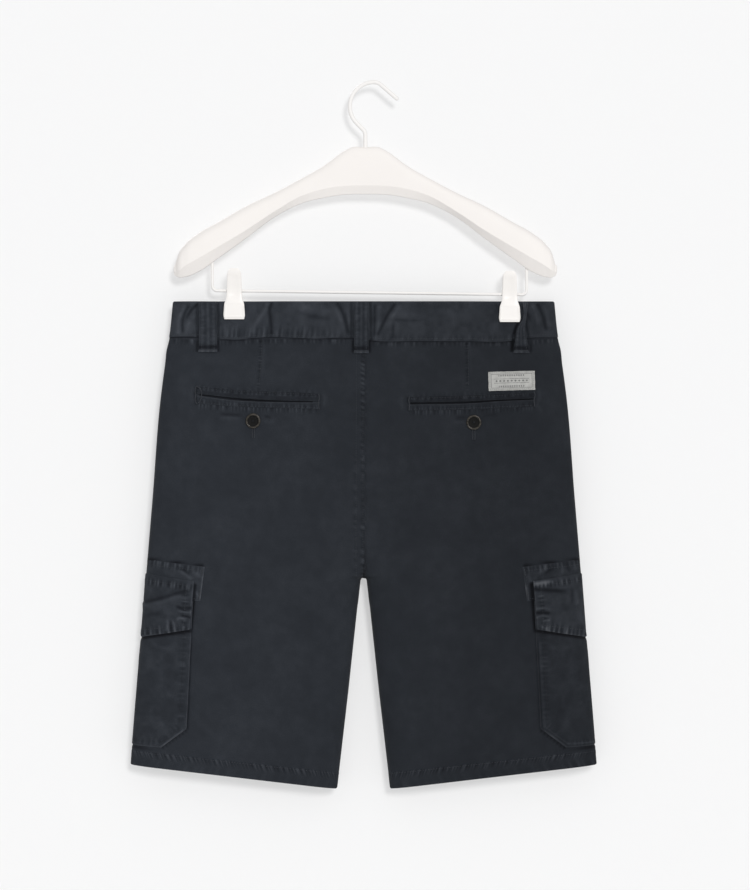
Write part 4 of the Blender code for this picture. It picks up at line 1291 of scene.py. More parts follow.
# %% Creases of the cargo pockets
LEFT_FLAP_CREASES = (
    (((-258, 350), (-234.5, 344.2), (-216.7, 338.3), (-200, 335.2)), 2.0, -0.8, -0.42, (0.1, 0.1)),
    (((-258, 354.5), (-236, 348.8), (-218, 343), (-202, 341)), 3.2, 0.9, 0.18, (0.1, 0.2)),
    (((-219, 351.8), (-208.6, 356.0), (-198, 355.0)), 1.7, -0.8, -0.60, (0.3, 0)),
    (((-217, 356.6), (-207, 360.4), (-198.4, 359.8)), 2.0, 0.8, 0.34, (0.3, 0)),
    (((-212.6, 362), (-206, 364), (-199, 366.6)), 1.5, -0.7, -0.60, (0.3, 0)),
    (((-253, 363), (-240, 362.4), (-228, 360.2)), 2.6, -0.4, -0.22),
    (((-252, 356), (-240, 356), (-230, 354)), 3.4, 0.4, 0.12),
    (((-217.6, 371), (-213, 366.6), (-207.6, 368.4), (-206.6, 373)), 1.6, 0.7, 0.46),
    (((-209.4, 376.5), (-205.4, 378)), 1.8, 0.6, 0.50),
    (((-227.5, 366), (-226, 373), (-228.5, 381)), 1.7, 0.8, 0.40, (0.4, 0)),
    (((-221, 367), (-219.5, 374), (-218.6, 380.6)), 1.5, 0.8, 0.36, (0.4, 0)),
    (((-224, 368), (-222.8, 375), (-223, 381)), 1.3, -0.7, -0.40, (0.4, 0)),
)
LEFT_FLAP_GATHERS = (
    (((-262, 323), (-253, 324.3), (-226, 327.8), (-197, 332.2)), 4.4, (6.5, 6.0), 0.55, 0.66, 71),
    (((-262, 386), (-230, 384), (-200, 381)), 5.4, (12, 2), 0.55, 0.64, 72),
    (((-206, 334), (-207.5, 352)), 3.6, (8, 5), 0.5, 0.52, 73),
    (((-207, 352), (-209, 376)), 3.6, (8, 4), 0.4, 0.42, 74),
)
RIGHT_FLAP_CREASES = (
    (((198, 333.6), (212, 334.4), (227, 335.6), (238, 336)), 2.2, -1.0, -0.66, (0, 0.3)),
    (((197, 327.4), (208, 325.8), (224, 323.6)), 2.4, 0.6, 0.90, (0, 0.5)),
    (((200, 360.5), (209, 360.8), (217.5, 361)), 1.8, -0.9, -0.78, (0, 0.3)),
    (((200, 356), (208, 355.6), (218, 356.4)), 2.2, 0.7, 0.30, (0, 0.4)),
    (((243.8, 333), (245.6, 343), (246.6, 354)), 2.4, 0.7, 0.26),
    (((240, 330), (240.6, 342), (240, 352)), 1.8, -0.5, -0.26),
    (((248, 358), (250, 366), (252, 376)), 2.4, 0.6, 0.16),
    (((201, 366), (207, 363.4), (212, 365), (218, 369.6)), 1.7, 0.7, 0.40, (0, 0.3)),
    (((206, 371.6), (212, 368.6), (217, 371)), 1.7, 0.7, 0.44),
    (((207, 367.6), (212, 367), (216, 366)), 1.3, -0.7, -0.46),
    (((203, 374), (208, 378), (214, 380)), 1.8, 0.6, 0.36),
    (((228, 348), (232, 354), (238, 358)), 3.4, -0.4, -0.16),
)
RIGHT_FLAP_GATHERS = (
    (((197, 330.4), (222, 327), (256, 322)), 4.2, (7.0, 5.0), 0.45, 0.56, 75),
    (((201, 380), (230, 384), (262, 388.6)), 4.9, (14, 2), 0.55, 0.62, 76),
    (((206, 337), (208, 360)), 4.6, (3, 8), 0.55, 0.56, 77),
    (((230, 323), (232, 340)), 5.0, (12, 12), 0.4, 0.10, 79),
)
LEFT_BAG_GATHERS = (
    (((-206.4, 352), (-211, 487)), 5.4, (6, 8), 0.50, 0.26, 81),
    (((-270, 508), (-236, 510), (-211, 488)), 4.2, (6, 5), 0.35, 0.24, 82),
)
RIGHT_BAG_GATHERS = (
    (((206.4, 352), (211, 487)), 5.4, (8, 6), 0.50, 0.26, 83),
    (((211, 488), (236, 510), (270, 508)), 4.2, (6, 5), 0.35, 0.24, 84),
)
LEFT_BAG_CREASES = (
    (((-262, 400), (-240, 430), (-232, 470)), 9, 0.7, 0.05),
    (((-250, 396), (-226, 402), (-208, 398)), 3.0, 0.5, 0.14),
    (((-240, 480), (-230, 494), (-222, 500)), 3.5, 0.5, 0.12),
    (((-198.8, 482), (-201, 489), (-206, 493)), 1.5, 0.4, 0.34),
    # painted shadow under the flap's bottom edge, also mirrored onto the right bag
    (((-199, 381.4), (-230, 385.8), (-262, 391)), 1.7, -0.3, -1.1, (0, 0)),
    (((-207.4, 495.4), (-236, 516.4)), 0.9, 0.2, 0.45, (0.05, 0.1)),
)
RIGHT_BAG_CREASES = tuple(
    (tuple((-x, drop) for x, drop in route), *rest) for route, *rest in LEFT_BAG_CREASES
) + (
    (((203.6, 392), (209.0, 492)), 0.8, 0.2, 0.42, (0.05, 0)),
    (((209.0, 492), (237, 512.6)), 0.8, 0.2, 0.30, (0, 0)),
    (((237, 512.6), (268, 510.4)), 0.8, 0.2, 0.36, (0, 0)),
    (((201.2, 392), (206.6, 493)), 0.8, -0.2, -0.35, (0.05, 0)),
)
LEFT_FACING_CREASES = (
    (((-214, 312), (-206, 316), (-197, 323)), 2.2, 0.7, 0.30),
    (((-218, 308), (-208, 311), (-200, 318)), 1.6, -0.6, -0.40),
    (((-200, 312), (-192, 316), (-186, 322)), 2.4, 0.5, 0.26),
    (((-196, 334), (-192, 340), (-188, 346)), 1.8, 0.6, 0.36),
    (((-184.6, 312), (-187, 330), (-189, 346)), 1.3, 0.3, 0.26),
    # painted shadow beside the flap's inner edge
    (((-194.6, 326), (-196.8, 350)), 1.5, -0.2, -1.0, (0.1, 0)),
)
RIGHT_FACING_CREASES = (
    (((200, 318), (206, 312), (214, 308)), 2.2, 0.7, 0.28),
    (((208, 318), (214, 312), (222, 310)), 1.6, -0.6, -0.36),
    (((188, 316), (192, 322), (196, 330)), 2.4, 0.5, 0.26),
    (((226, 300), (229, 308), (230, 318)), 2.0, 0.6, 0.30),
    (((233, 300), (236, 308), (240, 316)), 1.6, -0.6, -0.34),
    (((240, 298), (244, 306), (247, 314)), 2.0, 0.6, 0.26),
    (((187, 326), (189.6, 338), (191.4, 345)), 1.4, 0.5, 0.50),
    # painted shadow beside the flap's inner edge
    (((194.2, 324), (196.4, 350)), 2.3, -0.2, -1.5, (0.1, 0)),
)
LEFT_FACING_GATHERS = ((((-256, 300), (-226, 304), (-185, 311)), 4.4, (4, 9), 0.40, 0.50, 85),)
RIGHT_FACING_GATHERS = ((((186, 310), (226, 304), (256, 300)), 4.4, (4, 9), 0.40, 0.50, 86),)
print("flap creases:", len(LEFT_FLAP_CREASES) + len(RIGHT_FLAP_CREASES))

# %% Cargo pockets


def at_side(inwards):
    """1 at the side fold, 0 from some way in on the flat of the leg."""
    return ease((inwards - 0.78) / 0.20)


def facing_lift(down, inwards):
    return 1.15 - 1.0 * at_side(inwards)


def bag_lift(down, inwards):
    seam = -0.75 + 1.25 * ease((down - 0.245) / 0.045)  # sunk under the flap
    flat = 1.9 + 0.8 * np.sin(math.pi * np.clip(down, 0, 1)) * inwards
    return flat + (seam - flat) * at_side(inwards)


def flap_lift(down, inwards):
    flat = 3.0 + 0.5 * down
    return flat + (1.15 - 0.55 * down - flat) * at_side(inwards)


def border(final, outwards, inset_side, inset_top, inset_bottom):
    """Runs of stitches round a wrapped piece, a number of rows and columns in from its edges. With no
    inset at the top, none runs there."""
    rows, columns = final.shape[:2]
    far_side, foot = columns - 1 - inset_side, rows - 1 - inset_bottom
    down, across = np.linspace(inset_top or 1, foot, 200), np.linspace(inset_side, far_side, 400)
    runs = [line_on(final, outwards, down, column) for column in (inset_side, far_side)]
    levels = (inset_top, foot) if inset_top else (foot,)
    return runs + [line_on(final, outwards, level, across) for level in levels]


FACING_ROWS, FACING_COLUMNS = 32, 110
CARGO = {
    "left": (-1, LEFT_FACING_CREASES, LEFT_FACING_GATHERS, LEFT_BAG_CREASES, LEFT_BAG_GATHERS,
             LEFT_FLAP_CREASES, LEFT_FLAP_GATHERS),
    "right": (1, RIGHT_FACING_CREASES, RIGHT_FACING_GATHERS, RIGHT_BAG_CREASES, RIGHT_BAG_GATHERS,
              RIGHT_FLAP_CREASES, RIGHT_FLAP_GATHERS),
}
for side_name, (side, facing_c, facing_g, bag_c, bag_g, flap_c, flap_g) in CARGO.items():
    facing = make_wrapped(f"{side_name}_cargo_facing_cloth", CARGO_FACING, side, FACING_ROWS,
                          FACING_COLUMNS, 0.0010, f"cargo_facing_{side_name}", facing_lift, facing_c,
                          facing_g, (0.7, True), 0.09)
    bag = make_wrapped(f"{side_name}_cargo_bag_cloth", CARGO_BAG, side, 96, 80, 0.0010,
                       f"cargo_bag_{side_name}", bag_lift, bag_c, bag_g, (1.5, False))
    flap = make_wrapped(f"{side_name}_cargo_flap_cloth", CARGO_FLAP, side, 58, 104, 0.0012,
                        f"cargo_flap_{side_name}", flap_lift, flap_c, flap_g, (0.9, True), 0.14 + 0.05 * side)
    sew(f"{side_name}_facing_stitches", border(*facing, 2.0, 4.0, 2.0), thread)
    sew(f"{side_name}_bag_stitches", border(*bag, 5.0, 0, 3.4), dark_thread)
    sew(f"{side_name}_flap_stitches", border(*flap, 6.5, 6.2, 6.0), thread)
    runs = [line_on(*facing, np.linspace(start, end, 30), column) for column in (1.4, FACING_COLUMNS - 2.4)
            for start, end in ((2.0, 8.0), (FACING_ROWS - 12.0, FACING_ROWS - 2.0))]
    sew_across(f"{side_name}_facing_bartacks", runs, 0.0014)

# %% [markdown]
# ## Belt loops
# A belt loop is a folded strip with two rows of stitches, tacked down at both ends and standing off the
# waistband between them. Each one is cut as a small grid that follows the form and lifts on a curve.

# %% Belt loops
LOOP_WALL = 0.0016
BELT_LOOPS = (  # name, node, (drop, left, right) down its edges in mm, face
    ("back_left_loop", "belt_loop_back_left", ((1.2, -191.6, -170.6), (59.4, -191.6, -169.6)), BACK),
    ("back_centre_loop", "belt_loop_back_centre", ((1.2, -11.0, 6.0), (60.6, -11.4, 5.8)), BACK),
    ("back_right_loop", "belt_loop_back_right", (
        (1.2, 184.0, 191.4), (22.0, 183.6, 188.4), (30.0, 178.6, 187.2), (45.0, 175.5, 189.5),
        (60.6, 173.4, 192.4)), BACK),
    ("front_left_loop", "belt_loop_front_left", ((1.2, -96.0, -77.0), (60.0, -96.0, -77.0)), FRONT),
    ("front_right_loop", "belt_loop_front_right", ((1.2, 77.0, 96.0), (60.0, 77.0, 96.0)), FRONT),
)
LOOP_ROWS, LOOP_COLUMNS = 56, 19
LOOP_TOP = 1.2  # in mm
for k, (name, node, sides, face) in enumerate(BELT_LOOPS):
    end = sides[-1][0]
    drop = share_of((LOOP_ROWS, LOOP_COLUMNS), 0, LOOP_TOP, end)
    left_x, right_x = (smooth_line(sides, column, drop) for column in (1, 2))
    x = left_x + (right_x - left_x) * np.linspace(0, 1, LOOP_COLUMNS)
    wide = (right_x - left_x) / 2
    x, drop = x / 1000, drop / 1000
    points = skin(x, drop, face)
    outwards = face_directions(points, 0.0)
    outwards *= np.sign(outwards[..., 1].mean() * face)
    down, across = share_of(x.shape, 0), share_of(x.shape, 1, -1, 1)
    tall = end - LOOP_TOP
    mm_down = down * tall
    lift = 2.7 + 2.2 * np.sin(math.pi * down) ** 0.6
    edges = rounding((1 - np.abs(across)) * wide, 1.3)
    edges = edges * rounding(mm_down, 1.2) * rounding(tall - mm_down, 1.2)
    pull = gathers(mm_down, 8 * across, ((-5, -5), (70, -5)), 5.0, (3, 5), 90 + k)
    pull = pull + gathers(mm_down, 8 * across, ((-5, 5), (70, 5)), 5.4, (5, 3), 95 + k)
    streaks = sum(np.exp(-(((across - at) / 0.17) ** 2)) for at in (-0.60, 0.0, 0.60))
    tacked = np.exp(-((mm_down - (end - 7.0)) ** 2) / 5)
    height = lift - 0.9 * (1 - edges) + 0.22 * pull + 0.25 * streaks - 0.45 * tacked
    tone = 0.16 * pull + 0.30 * streaks - 0.06 + 0.16 * np.exp(-(((np.abs(across) - 0.95) / 0.10) ** 2))
    # the tacked term is painted shade, darker in the dip above the loop's tacked lower end
    tone = tone + 0.45 * np.exp(-((mm_down - (end - 2.6)) ** 2) / 2.5) - 0.75 * tacked
    tone = tone + 0.12 * mottle(1000 * x, 1000 * drop, 4, 60 + k) + (0.35 * (1 - down) if k == 2 else 0)
    piece, final = lay_cloth(name + "_cloth", points, outwards, height, tone, LOOP_WALL)
    dress(piece, twill, "twill", node)
    rows = np.linspace(1, LOOP_ROWS - 2, 120)
    runs = [line_on(final, outwards, rows, c) for c in (2.6, LOOP_COLUMNS - 3.6)]
    sew(name + "_stitches", runs, thread)
    columns = np.linspace(0.8, LOOP_COLUMNS - 1.8, 40)
    sew_across(name + "_bartacks", [line_on(final, outwards, LOOP_ROWS - 3.4, columns)], 0.0014, 0.00060)

# %% [markdown]
# ## Fly
# The front closes on a fly: a lapped edge just past the centre line and a row of stitches that turns in
# a J at its foot. It is on the far side, so it is kept plain, but it is a real lapped piece.

# %% Fly
FLY_EDGE, FLY_WIDTH, FLY_TOP, FLY_STRAIGHT_DROP, FLY_ROUND_DROP = 0.0015, 0.0370, 0.0400, 0.1700, 0.0450
FLY_ROWS, FLY_COLUMNS = 90, 26
turn = np.linspace(0, math.pi / 2, FLY_COLUMNS)
fly_x = np.broadcast_to(FLY_EDGE - FLY_WIDTH * np.sin(turn), (FLY_ROWS, FLY_COLUMNS))
fly_end = FLY_STRAIGHT_DROP + FLY_ROUND_DROP * np.cos(turn)
fly_drop = FLY_TOP + (fly_end - FLY_TOP) * share_of(fly_x.shape, 0)
fly_points, fly_out = on_cloth(fly_x, fly_drop, FRONT)
edge_mm = 1000 * (FLY_EDGE - fly_x)
from_foot = 1000 * (fly_end - fly_drop)
ripple = gathers(1000 * fly_drop, edge_mm, ((30, 33), (230, 33)), 6.0, (6, 3), 101)
height = 1.5 + 0.25 * ripple - 0.8 * (1 - rounding(edge_mm, 1.3)) - 1.0 * (1 - rounding(from_foot, 2.0))
height = height - 0.9 * (1 - rounding(1000 * FLY_WIDTH - edge_mm, 2.0))
tone = 0.16 * ripple + 0.24 * (1 - ease(edge_mm / 2.5))
fly, fly_grid = lay_cloth("fly_cloth", fly_points, fly_out, height, tone, 0.0010)
dress(fly, twill, "twill", "fly_placket")
sew("fly_stitches", [line_on(fly_grid, fly_out, rows, columns) for rows, columns in (
    (np.linspace(4, 82, 200), 18.5),
    (84.0, np.linspace(18.5, 1.5, 80)),
    (np.linspace(4, 84, 200), 3.0))], thread)

# %% [markdown]
# ## Label
# A small woven label is sewn flat onto the right pocket's panel, a little tilted, by a line of stitches
# just inside its edge. Its edges are slightly frayed, so they wander by a fraction of a millimetre.

# %% Label
LABEL_CENTRE, LABEL_TILT = (0.1714, 0.0924), math.radians(1.5)
LABEL_ROWS, LABEL_COLUMNS = 30, 70
half_u, half_v = LABEL_SIZE[0] / 2, LABEL_SIZE[1] / 2
u = share_of((LABEL_ROWS, LABEL_COLUMNS), 1, -0.5, 0.5) * LABEL_SIZE[0]
v = share_of(u.shape, 0, 0.5, -0.5) * LABEL_SIZE[1]
frayed = np.random.default_rng(7)
fray_u = frayed.uniform(-0.00022, 0.00022, LABEL_ROWS)[:, None] * (np.abs(u) > half_u - 1e-6)
fray_v = frayed.uniform(-0.00018, 0.00018, LABEL_COLUMNS)[None, :] * (np.abs(v) > half_v - 1e-6)
lu, lv = u + fray_u, v + fray_v
label_x = LABEL_CENTRE[0] + lu * math.cos(LABEL_TILT) - lv * math.sin(LABEL_TILT)
label_drop = LABEL_CENTRE[1] - lu * math.sin(LABEL_TILT) - lv * math.cos(LABEL_TILT)
places, label_out = on_cloth(label_x, label_drop, BACK)
edge = rounding(1000 * (half_u - np.abs(u)), 0.9) * rounding(1000 * (half_v - np.abs(v)), 0.9)
sewn_in = np.exp(-((np.maximum(np.abs(u) / 0.0247, np.abs(v) / 0.0088) - 1) / 0.05) ** 2)
swell = 0.20 * np.cos(u * 210 + 1) * np.cos(v * 300)
height = 1.25 + swell - 0.5 * (1 - edge) - 0.22 * sewn_in
label, label_grid = lay_cloth("woven_label_piece", places, label_out, height, np.zeros(u.shape), 0.0008,
                              np.stack([u, v], axis=-1))
dress(label, label_cloth, "woven_label", "label")
rows, columns = LABEL_ROWS - 1, LABEL_COLUMNS - 1
r0, c0 = 1.9, 2.1
loop_r = np.concatenate([np.full(80, r0), np.linspace(r0, rows - r0, 40), np.full(80, rows - r0),
                         np.linspace(rows - r0, r0, 40)])
loop_c = np.concatenate([np.linspace(c0, columns - c0, 80), np.full(40, columns - c0),
                         np.linspace(columns - c0, c0, 80), np.full(40, c0)])
sew("label_stitches", [line_on(label_grid, label_out, loop_r, loop_c)],
    make_thread("grey_thread", (0.10, 0.105, 0.105)), 0.0022, 0.0015, 0.00042)

# %% [markdown]
# ## Buttons
# A horn button is turned on a lathe: a raised rim round a sunk middle with four holes. It is made the
# same way here, from a circle that is extruded and scaled ring by ring, and then drilled. Two crossing
# stitches hold it.

# %% Buttons
BUTTON_PROFILE = (  # radius, height above the cloth
    (0.0066, 0.0000), (0.0079, 0.0004), (0.0085, 0.0010), (0.0087, 0.0016), (0.0085, 0.0022),
    (0.0080, 0.0026), (0.0073, 0.0027), (0.0067, 0.0024), (0.0062, 0.0019), (0.0056, 0.0015),
    (0.0048, 0.0013),
)


def turned_button(name, x, drop, face, lift, node):
    bpy.ops.object.select_all(action="DESELECT")
    bpy.ops.mesh.primitive_circle_add(vertices=48, radius=BUTTON_PROFILE[0][0], fill_type="NGON")
    button = bpy.context.object
    button.name = button.data.name = name
    bpy.ops.object.mode_set(mode="EDIT")
    bpy.ops.mesh.select_all(action="SELECT")
    radius, height = BUTTON_PROFILE[0]
    bpy.ops.mesh.flip_normals()
    bpy.ops.mesh.duplicate()
    for next_radius, next_height in BUTTON_PROFILE[1:]:
        bpy.ops.mesh.extrude_region_move(TRANSFORM_OT_translate={"value": (0, 0, next_height - height)})
        grow = next_radius / radius
        bpy.ops.transform.resize(value=(grow, grow, 1), center_override=(0, 0, next_height))
        radius, height = next_radius, next_height
    bpy.ops.mesh.select_all(action="SELECT")
    bpy.ops.mesh.remove_doubles(threshold=0.00001)
    bpy.ops.mesh.normals_make_consistent(inside=False)
    bpy.ops.object.mode_set(mode="OBJECT")
    for hole_x, hole_y in ((-1, -1), (1, -1), (1, 1), (-1, 1)):
        bpy.ops.mesh.primitive_cylinder_add(vertices=14, radius=0.00085, depth=0.004,
                                            location=(0.0017 * hole_x, 0.0017 * hole_y, 0.0028))
        drill = bpy.context.object
        cut = button.modifiers.new("hole", "BOOLEAN")
        cut.operation, cut.solver, cut.object = "DIFFERENCE", "EXACT", drill
        bpy.context.view_layer.objects.active = button
        bpy.ops.object.modifier_apply(modifier=cut.name)
        bpy.data.objects.remove(drill, do_unlink=True)
    rim = button.data.attributes.new("rim", "FLOAT", "POINT")
    radii = np.array([math.hypot(v.co.x, v.co.y) for v in button.data.vertices])
    rim.data.foreach_set("value", ease((radii - 0.0060) / 0.0009).astype(np.float32))
    place, out = on_cloth(np.array([x]), np.array([drop]), face, lift)
    turn = Vector(out[0]).to_track_quat("Z", "Y").to_matrix().to_4x4()
    turn.translation = Vector(place[0])
    button.data.transform(turn)
    settle(button, 40)
    dress(button, horn, "horn_button", node)
    side_a, side_b = Vector(turn.col[0][:3]), Vector(turn.col[1][:3])
    seat = Vector(place[0]) + Vector(out[0]) * 0.00135
    runs = []
    for across, along in ((1, 1), (1, -1)):
        start = seat - side_a * 0.0019 * across - side_b * 0.0019 * along
        end = seat + side_a * 0.0019 * across + side_b * 0.0019 * along
        runs.append((np.array([start, end]), np.array([out[0], out[0]])))
    sew(name + "_thread", runs, dark_thread, pitch=0.0053, length=0.0050, thread_size=0.0009, sink=-0.1)


for name, x, drop, node in (("left_pocket_button", -0.1279, 0.1388, "back_button_left"),
                            ("right_pocket_button", 0.1276, 0.1406, "back_button_right")):
    turned_button(name, x, drop, BACK, 0.15, node)
turned_button("waistband_button", -0.0135, 0.0215, FRONT, 2.6, "waist_button")
bartack("buttonhole_stitches", (
    ((-128.8, 145.5), (-128.8, 158.5)), ((-126.4, 145.5), (-126.4, 158.5)),
    ((126.4, 146.5), (126.4, 160.5)), ((128.8, 146.5), (128.8, 160.5))), 0.20, 1.4)

# %% [markdown]
# ## Hanger body
# The hanger is moulded in one: two arms that sweep down from a flat top, with a broad front that turns
# under to a narrow underside, and blunt ends. A grid is rolled into a tube, one ring for each station
# along the arms, its seam is merged, and its ends are filled and rounded off.

# %% Hanger body
HANGER = np.array([-0.0100, 0.0, -0.0740])
ARM = (  # x, top, edge of the front, underside, half depth
    (0.0000, 0.0000, -0.0441, -0.0534, 0.0080), (0.0160, 0.0000, -0.0441, -0.0535, 0.0080),
    (0.0250, -0.0045, -0.0446, -0.0540, 0.0081), (0.0477, -0.0208, -0.0480, -0.0575, 0.0086),
    (0.0750, -0.0363, -0.0566, -0.0645, 0.0094), (0.1050, -0.0522, -0.0740, -0.0798, 0.0106),
    (0.1390, -0.0684, -0.0965, -0.1050, 0.0121), (0.1700, -0.0862, -0.1150, -0.1272, 0.0132),
    (0.1940, -0.0998, -0.1290, -0.1436, 0.0134), (0.2090, -0.1122, -0.1375, -0.1494, 0.0118),
    (0.2170, -0.1240, -0.1430, -0.1499, 0.0082), (0.2205, -0.1360, -0.1440, -0.1480, 0.0035),
)
SECTION = ((0.40, 0, 0), (0.80, 0.16, 0), (0.97, 0.45, 0), (1, 1, 0), (0.35, 1, 1))


def tube(name, rings, crisp=60):
    """A closed body through rings of places, from a grid rolled up and capped."""
    piece, _, _ = grid_piece(name, np.concatenate([rings, rings[:, :1]], axis=1))
    piece.data.update()
    in_edit_mode(lambda: bpy.ops.mesh.remove_doubles(threshold=0.00001),
                 lambda: bpy.ops.mesh.fill_holes(sides=200),
                 lambda: bpy.ops.mesh.normals_make_consistent(inside=False))
    settle(piece, crisp)
    print(f"{name}: {rings.shape[0]} rings of {rings.shape[1]}")
    return piece


def arm_ring(x):
    """The front is smooth over the top, and breaks on a crisp edge into a straight slope underneath."""
    top, widest, low, half = (float(smooth_line(ARM, k, abs(x))) for k in (1, 2, 3, 4))
    right = np.array([(half * a, top + (widest - top) * d + (low - widest) * u) for a, d, u in SECTION])
    over = np.concatenate([right[3::-1] * (-1, 1), right[:4]])
    places = np.arange(len(over))
    at = np.linspace(0, len(over) - 1, 37)
    crown = np.stack([smooth_line(np.stack([places, over[:, k]], 1), 1, at) for k in (0, 1)], 1)
    slope = right[3] + (right[4] - right[3]) * np.linspace(0, 1, 7)[1:, None]
    base = right[4] * ((0.5, 1), (-0.5, 1)) - ((0, 0.0003), (0, 0.0003))
    ring = np.concatenate([crown, slope, base, slope[::-1] * (-1, 1)])
    return HANGER + np.stack([np.full(len(ring), x), ring[:, 0], ring[:, 1]], axis=1)


stations = np.concatenate([np.arange(0, 0.196, 0.0040), np.linspace(0.196, 0.2203, 16)])
stations = np.concatenate([-stations[:0:-1], stations])
rings = np.stack([arm_ring(x) for x in stations])
for end in (0, -1):  # blunt, rounded ends
    ring = rings[end]
    middle = ring.mean(axis=0)
    caps = []
    for share in (0.2, 0.4, 0.58, 0.74, 0.86, 0.94, 0.985):
        grown = middle + (ring - middle) * math.sqrt(1 - share**2)
        grown[:, 0] += (0.0022 * share) * (1 if end == -1 else -1)
        caps.append(grown)
    caps = np.stack(caps)
    rings = np.concatenate([rings, caps]) if end == -1 else np.concatenate([caps[::-1], rings])
dress(tube("hanger_arms", rings, 19), plastic, "hanger_plastic", "hanger_body")

# %% [markdown]
# ## Hook and bar
# The hook is one bent wire: a straight tip, a bend over the rail, a long round back and a small bend
# into the hanger. The bar below is a thinner wire between the arms. Both are curves with a round bevel,
# made into meshes. The hook's free tip narrows on a round, like a wire dipped in its coat.

# %% Hook and bar
HOOK_WIRE, HOOK_RADIUS, HOOK_MOUTH_BEND, HOOK_MOUTH_TURN = 0.0048, 0.0280, 0.0120, 41.0
HOOK_TIP_RUN, HOOK_BACK_ANGLE, HOOK_FOOT_BEND = 0.0270, 225.0, 0.0100
BAR_WIRE, BAR_BEND = 0.0035, 0.0055
BAR_ENDS = ((-0.1775, -0.1655, -0.1338), (0.1872, -0.1702, -0.1404))


def arc(centre, radius, start, end, steps):
    """Places on an arc in the hanger's plane, angles in degrees from +X towards +Z."""
    turn = np.radians(np.linspace(start, end, steps + 1))
    return [np.array([centre[0] + radius * math.cos(a), 0, centre[1] + radius * math.sin(a)]) for a in turn]


def bent_wire(name, route, diameter, round_start):
    """A wire along a route, with its start narrowed on a round if that end is free."""
    route = [np.array(p, float) for p in route]
    sizes = [1.0] * len(route)
    if round_start:
        heading = (route[0] - route[1]) / np.linalg.norm(route[0] - route[1])
        shares = (0.97, 0.85, 0.6, 0.3, 0.0)
        route = [route[0] - heading * diameter / 2 * (1 - s) for s in shares] + route[1:]
        sizes = [math.sqrt(1 - s * s) for s in shares] + sizes[1:]
    curve = bpy.data.curves.new(name, "CURVE")
    curve.dimensions = "3D"
    curve.bevel_depth = diameter / 2
    curve.bevel_resolution = 6
    curve.use_fill_caps = True
    spline = curve.splines.new("POLY")
    spline.points.add(len(route) - 1)
    for point, place, size in zip(spline.points, route, sizes):
        point.co = (*place, 1)
        point.radius = size
    piece = bpy.data.objects.new(name, curve)
    bpy.context.scene.collection.objects.link(piece)
    bpy.ops.object.select_all(action="DESELECT")
    piece.select_set(True)
    bpy.context.view_layer.objects.active = piece
    bpy.ops.object.convert(target="MESH")
    settle(piece, 60)
    print(f"{name}: {len(piece.data.polygons)} faces")
    return piece


crown = HOOK_WIRE / 2
bend = arc((0, crown - HOOK_MOUTH_BEND), HOOK_MOUTH_BEND, 90 - HOOK_MOUTH_TURN, 90, 12)
mouth = math.radians(HOOK_MOUTH_TURN)
tip = bend[0] + HOOK_TIP_RUN * np.array([math.cos(mouth), 0, -math.sin(mouth)])
back = arc((0, crown - HOOK_RADIUS), HOOK_RADIUS, 90, HOOK_BACK_ANGLE, 40)[1:]
heading = math.radians(HOOK_BACK_ANGLE - 180)
sideways = HANGER[0] - back[-1][0] - HOOK_FOOT_BEND * (1 - math.cos(heading))
foot_start = back[-1] + np.array([sideways, 0, -sideways / math.tan(heading)])
foot_centre = (HANGER[0] - HOOK_FOOT_BEND, foot_start[2] - HOOK_FOOT_BEND * math.sin(heading))
foot = arc(foot_centre, HOOK_FOOT_BEND, math.degrees(heading), 0, 10)
stem_end = np.array([HANGER[0], 0, HANGER[2] - 0.002])
hook = bent_wire("wire_hook", [tip] + bend + back + foot + [stem_end], HOOK_WIRE, True)
dress(hook, coated_wire, "coated_wire", "hanger_hook")

(bar_left, left_z, left_top), (bar_right, right_z, right_top) = BAR_ENDS
route = [(bar_left, 0, left_top + 0.003)]
route += arc((bar_left + BAR_BEND, left_z + BAR_BEND), BAR_BEND, 180, 270, 8)
route += arc((bar_right - BAR_BEND, right_z + BAR_BEND), BAR_BEND, 270, 360, 8)
route += [(bar_right, 0, right_top + 0.003)]
bar = bent_wire("wire_bar", [HANGER + np.array(p) for p in route], BAR_WIRE, False)
dress(bar, coated_wire, "coated_wire", "hanger_bar")

# %% [markdown]
# ## Clips
# Each clip is two moulded halves that close on the waistband: a narrow neck with a loop over the bar
# and a broad jaw below. The jaw's face has a raised border. Every half is a stack of rounded rings,
# closed like the hanger's arms.

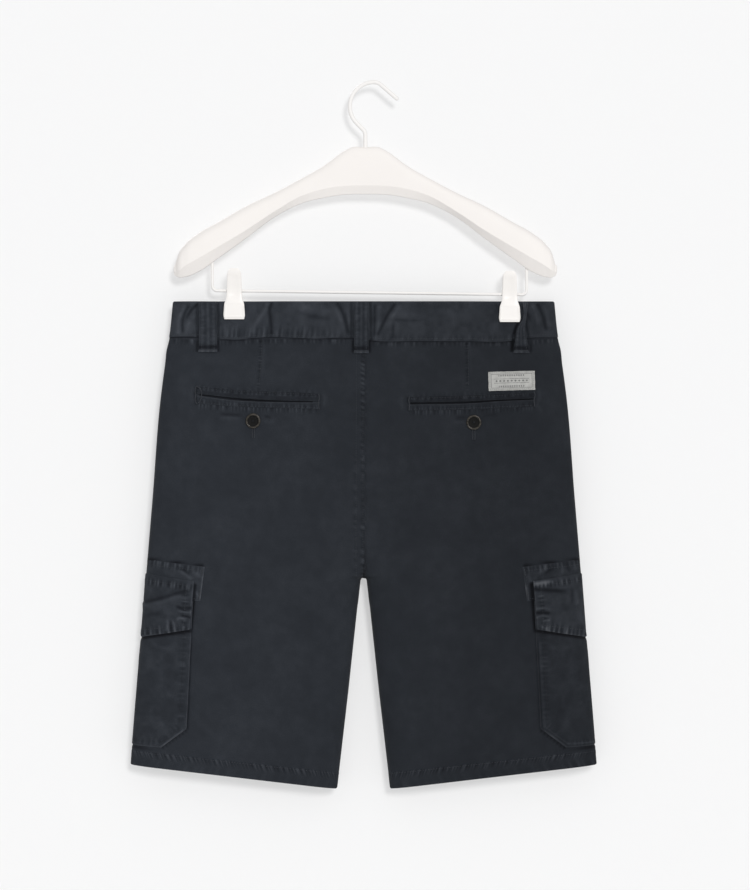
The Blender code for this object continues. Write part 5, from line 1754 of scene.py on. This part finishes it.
# %% Clips
CLIP_HALF = (  # below its top, half width, inner |y|, thickness
    (0.0000, 0.0040, 0.0088, 0.0018), (0.0014, 0.0062, 0.0086, 0.0022), (0.0050, 0.0078, 0.0082, 0.0024),
    (0.0240, 0.0086, 0.0034, 0.0028), (0.0290, 0.0088, 0.0028, 0.0030), (0.0350, 0.0093, 0.0034, 0.0032),
    (0.0410, 0.0116, 0.0037, 0.0034), (0.0550, 0.0126, 0.0037, 0.0034), (0.0590, 0.0114, 0.0040, 0.0026),
)
CLIP_LENGTH = CLIP_HALF[-1][0]


def clip_ring(drop, centre, reach, face):
    rows = np.array(CLIP_HALF)
    near = drop + np.linspace(-0.0016, 0.0016, 9)
    half, inside, thick = (float(np.interp(near, rows[:, 0], rows[:, k]).mean()) for k in (1, 2, 3))
    turn = np.linspace(0, 2 * math.pi, 48, endpoint=False)
    across = np.sign(np.cos(turn)) * np.abs(np.cos(turn)) ** 0.42
    out = np.sign(np.sin(turn)) * np.abs(np.sin(turn)) ** 0.42
    x = half * across
    y = inside + thick / 2 + thick / 2 * out
    border = np.exp(-(((half - np.abs(x) - 0.0016) / 0.0009) ** 2)) * ease((drop - 0.041) / 0.003)
    border = np.maximum(border, np.exp(-(((drop - 0.0562) / 0.0010) ** 2)))
    border = np.maximum(border, 0.3 * np.exp(-(((drop - 0.0402) / 0.0010) ** 2)))
    y = y + 0.00055 * border * (out > 0.5) * (half > 0.0095 or drop > 0.038)
    hollow = ease((drop - 0.006) / 0.006) * ease((0.036 - drop) / 0.005)
    y = y - 0.0007 * hollow * np.exp(-((x / (half * 0.55)) ** 2)) * (out > 0.5)
    z = CLIP_LENGTH - reach - drop
    return GARMENT + np.stack([centre + x, face * y, np.full(len(x), z)], axis=1)


for clip_name, (centre, reach) in zip(("left", "right"), CLIPS):
    for half_name, face in (("front", BACK), ("rear", FRONT)):
        drops = np.concatenate([np.linspace(0, 0.006, 8), np.linspace(0.0075, 0.038, 20),
                                np.linspace(0.039, 0.0590, 34)])
        rings = np.stack([clip_ring(d, centre, reach, face) for d in drops])
        dress(tube(f"{clip_name}_clip_{half_name}_half", rings), clip_plastic, "hanger_plastic",
              f"clip_{clip_name}_{half_name}")
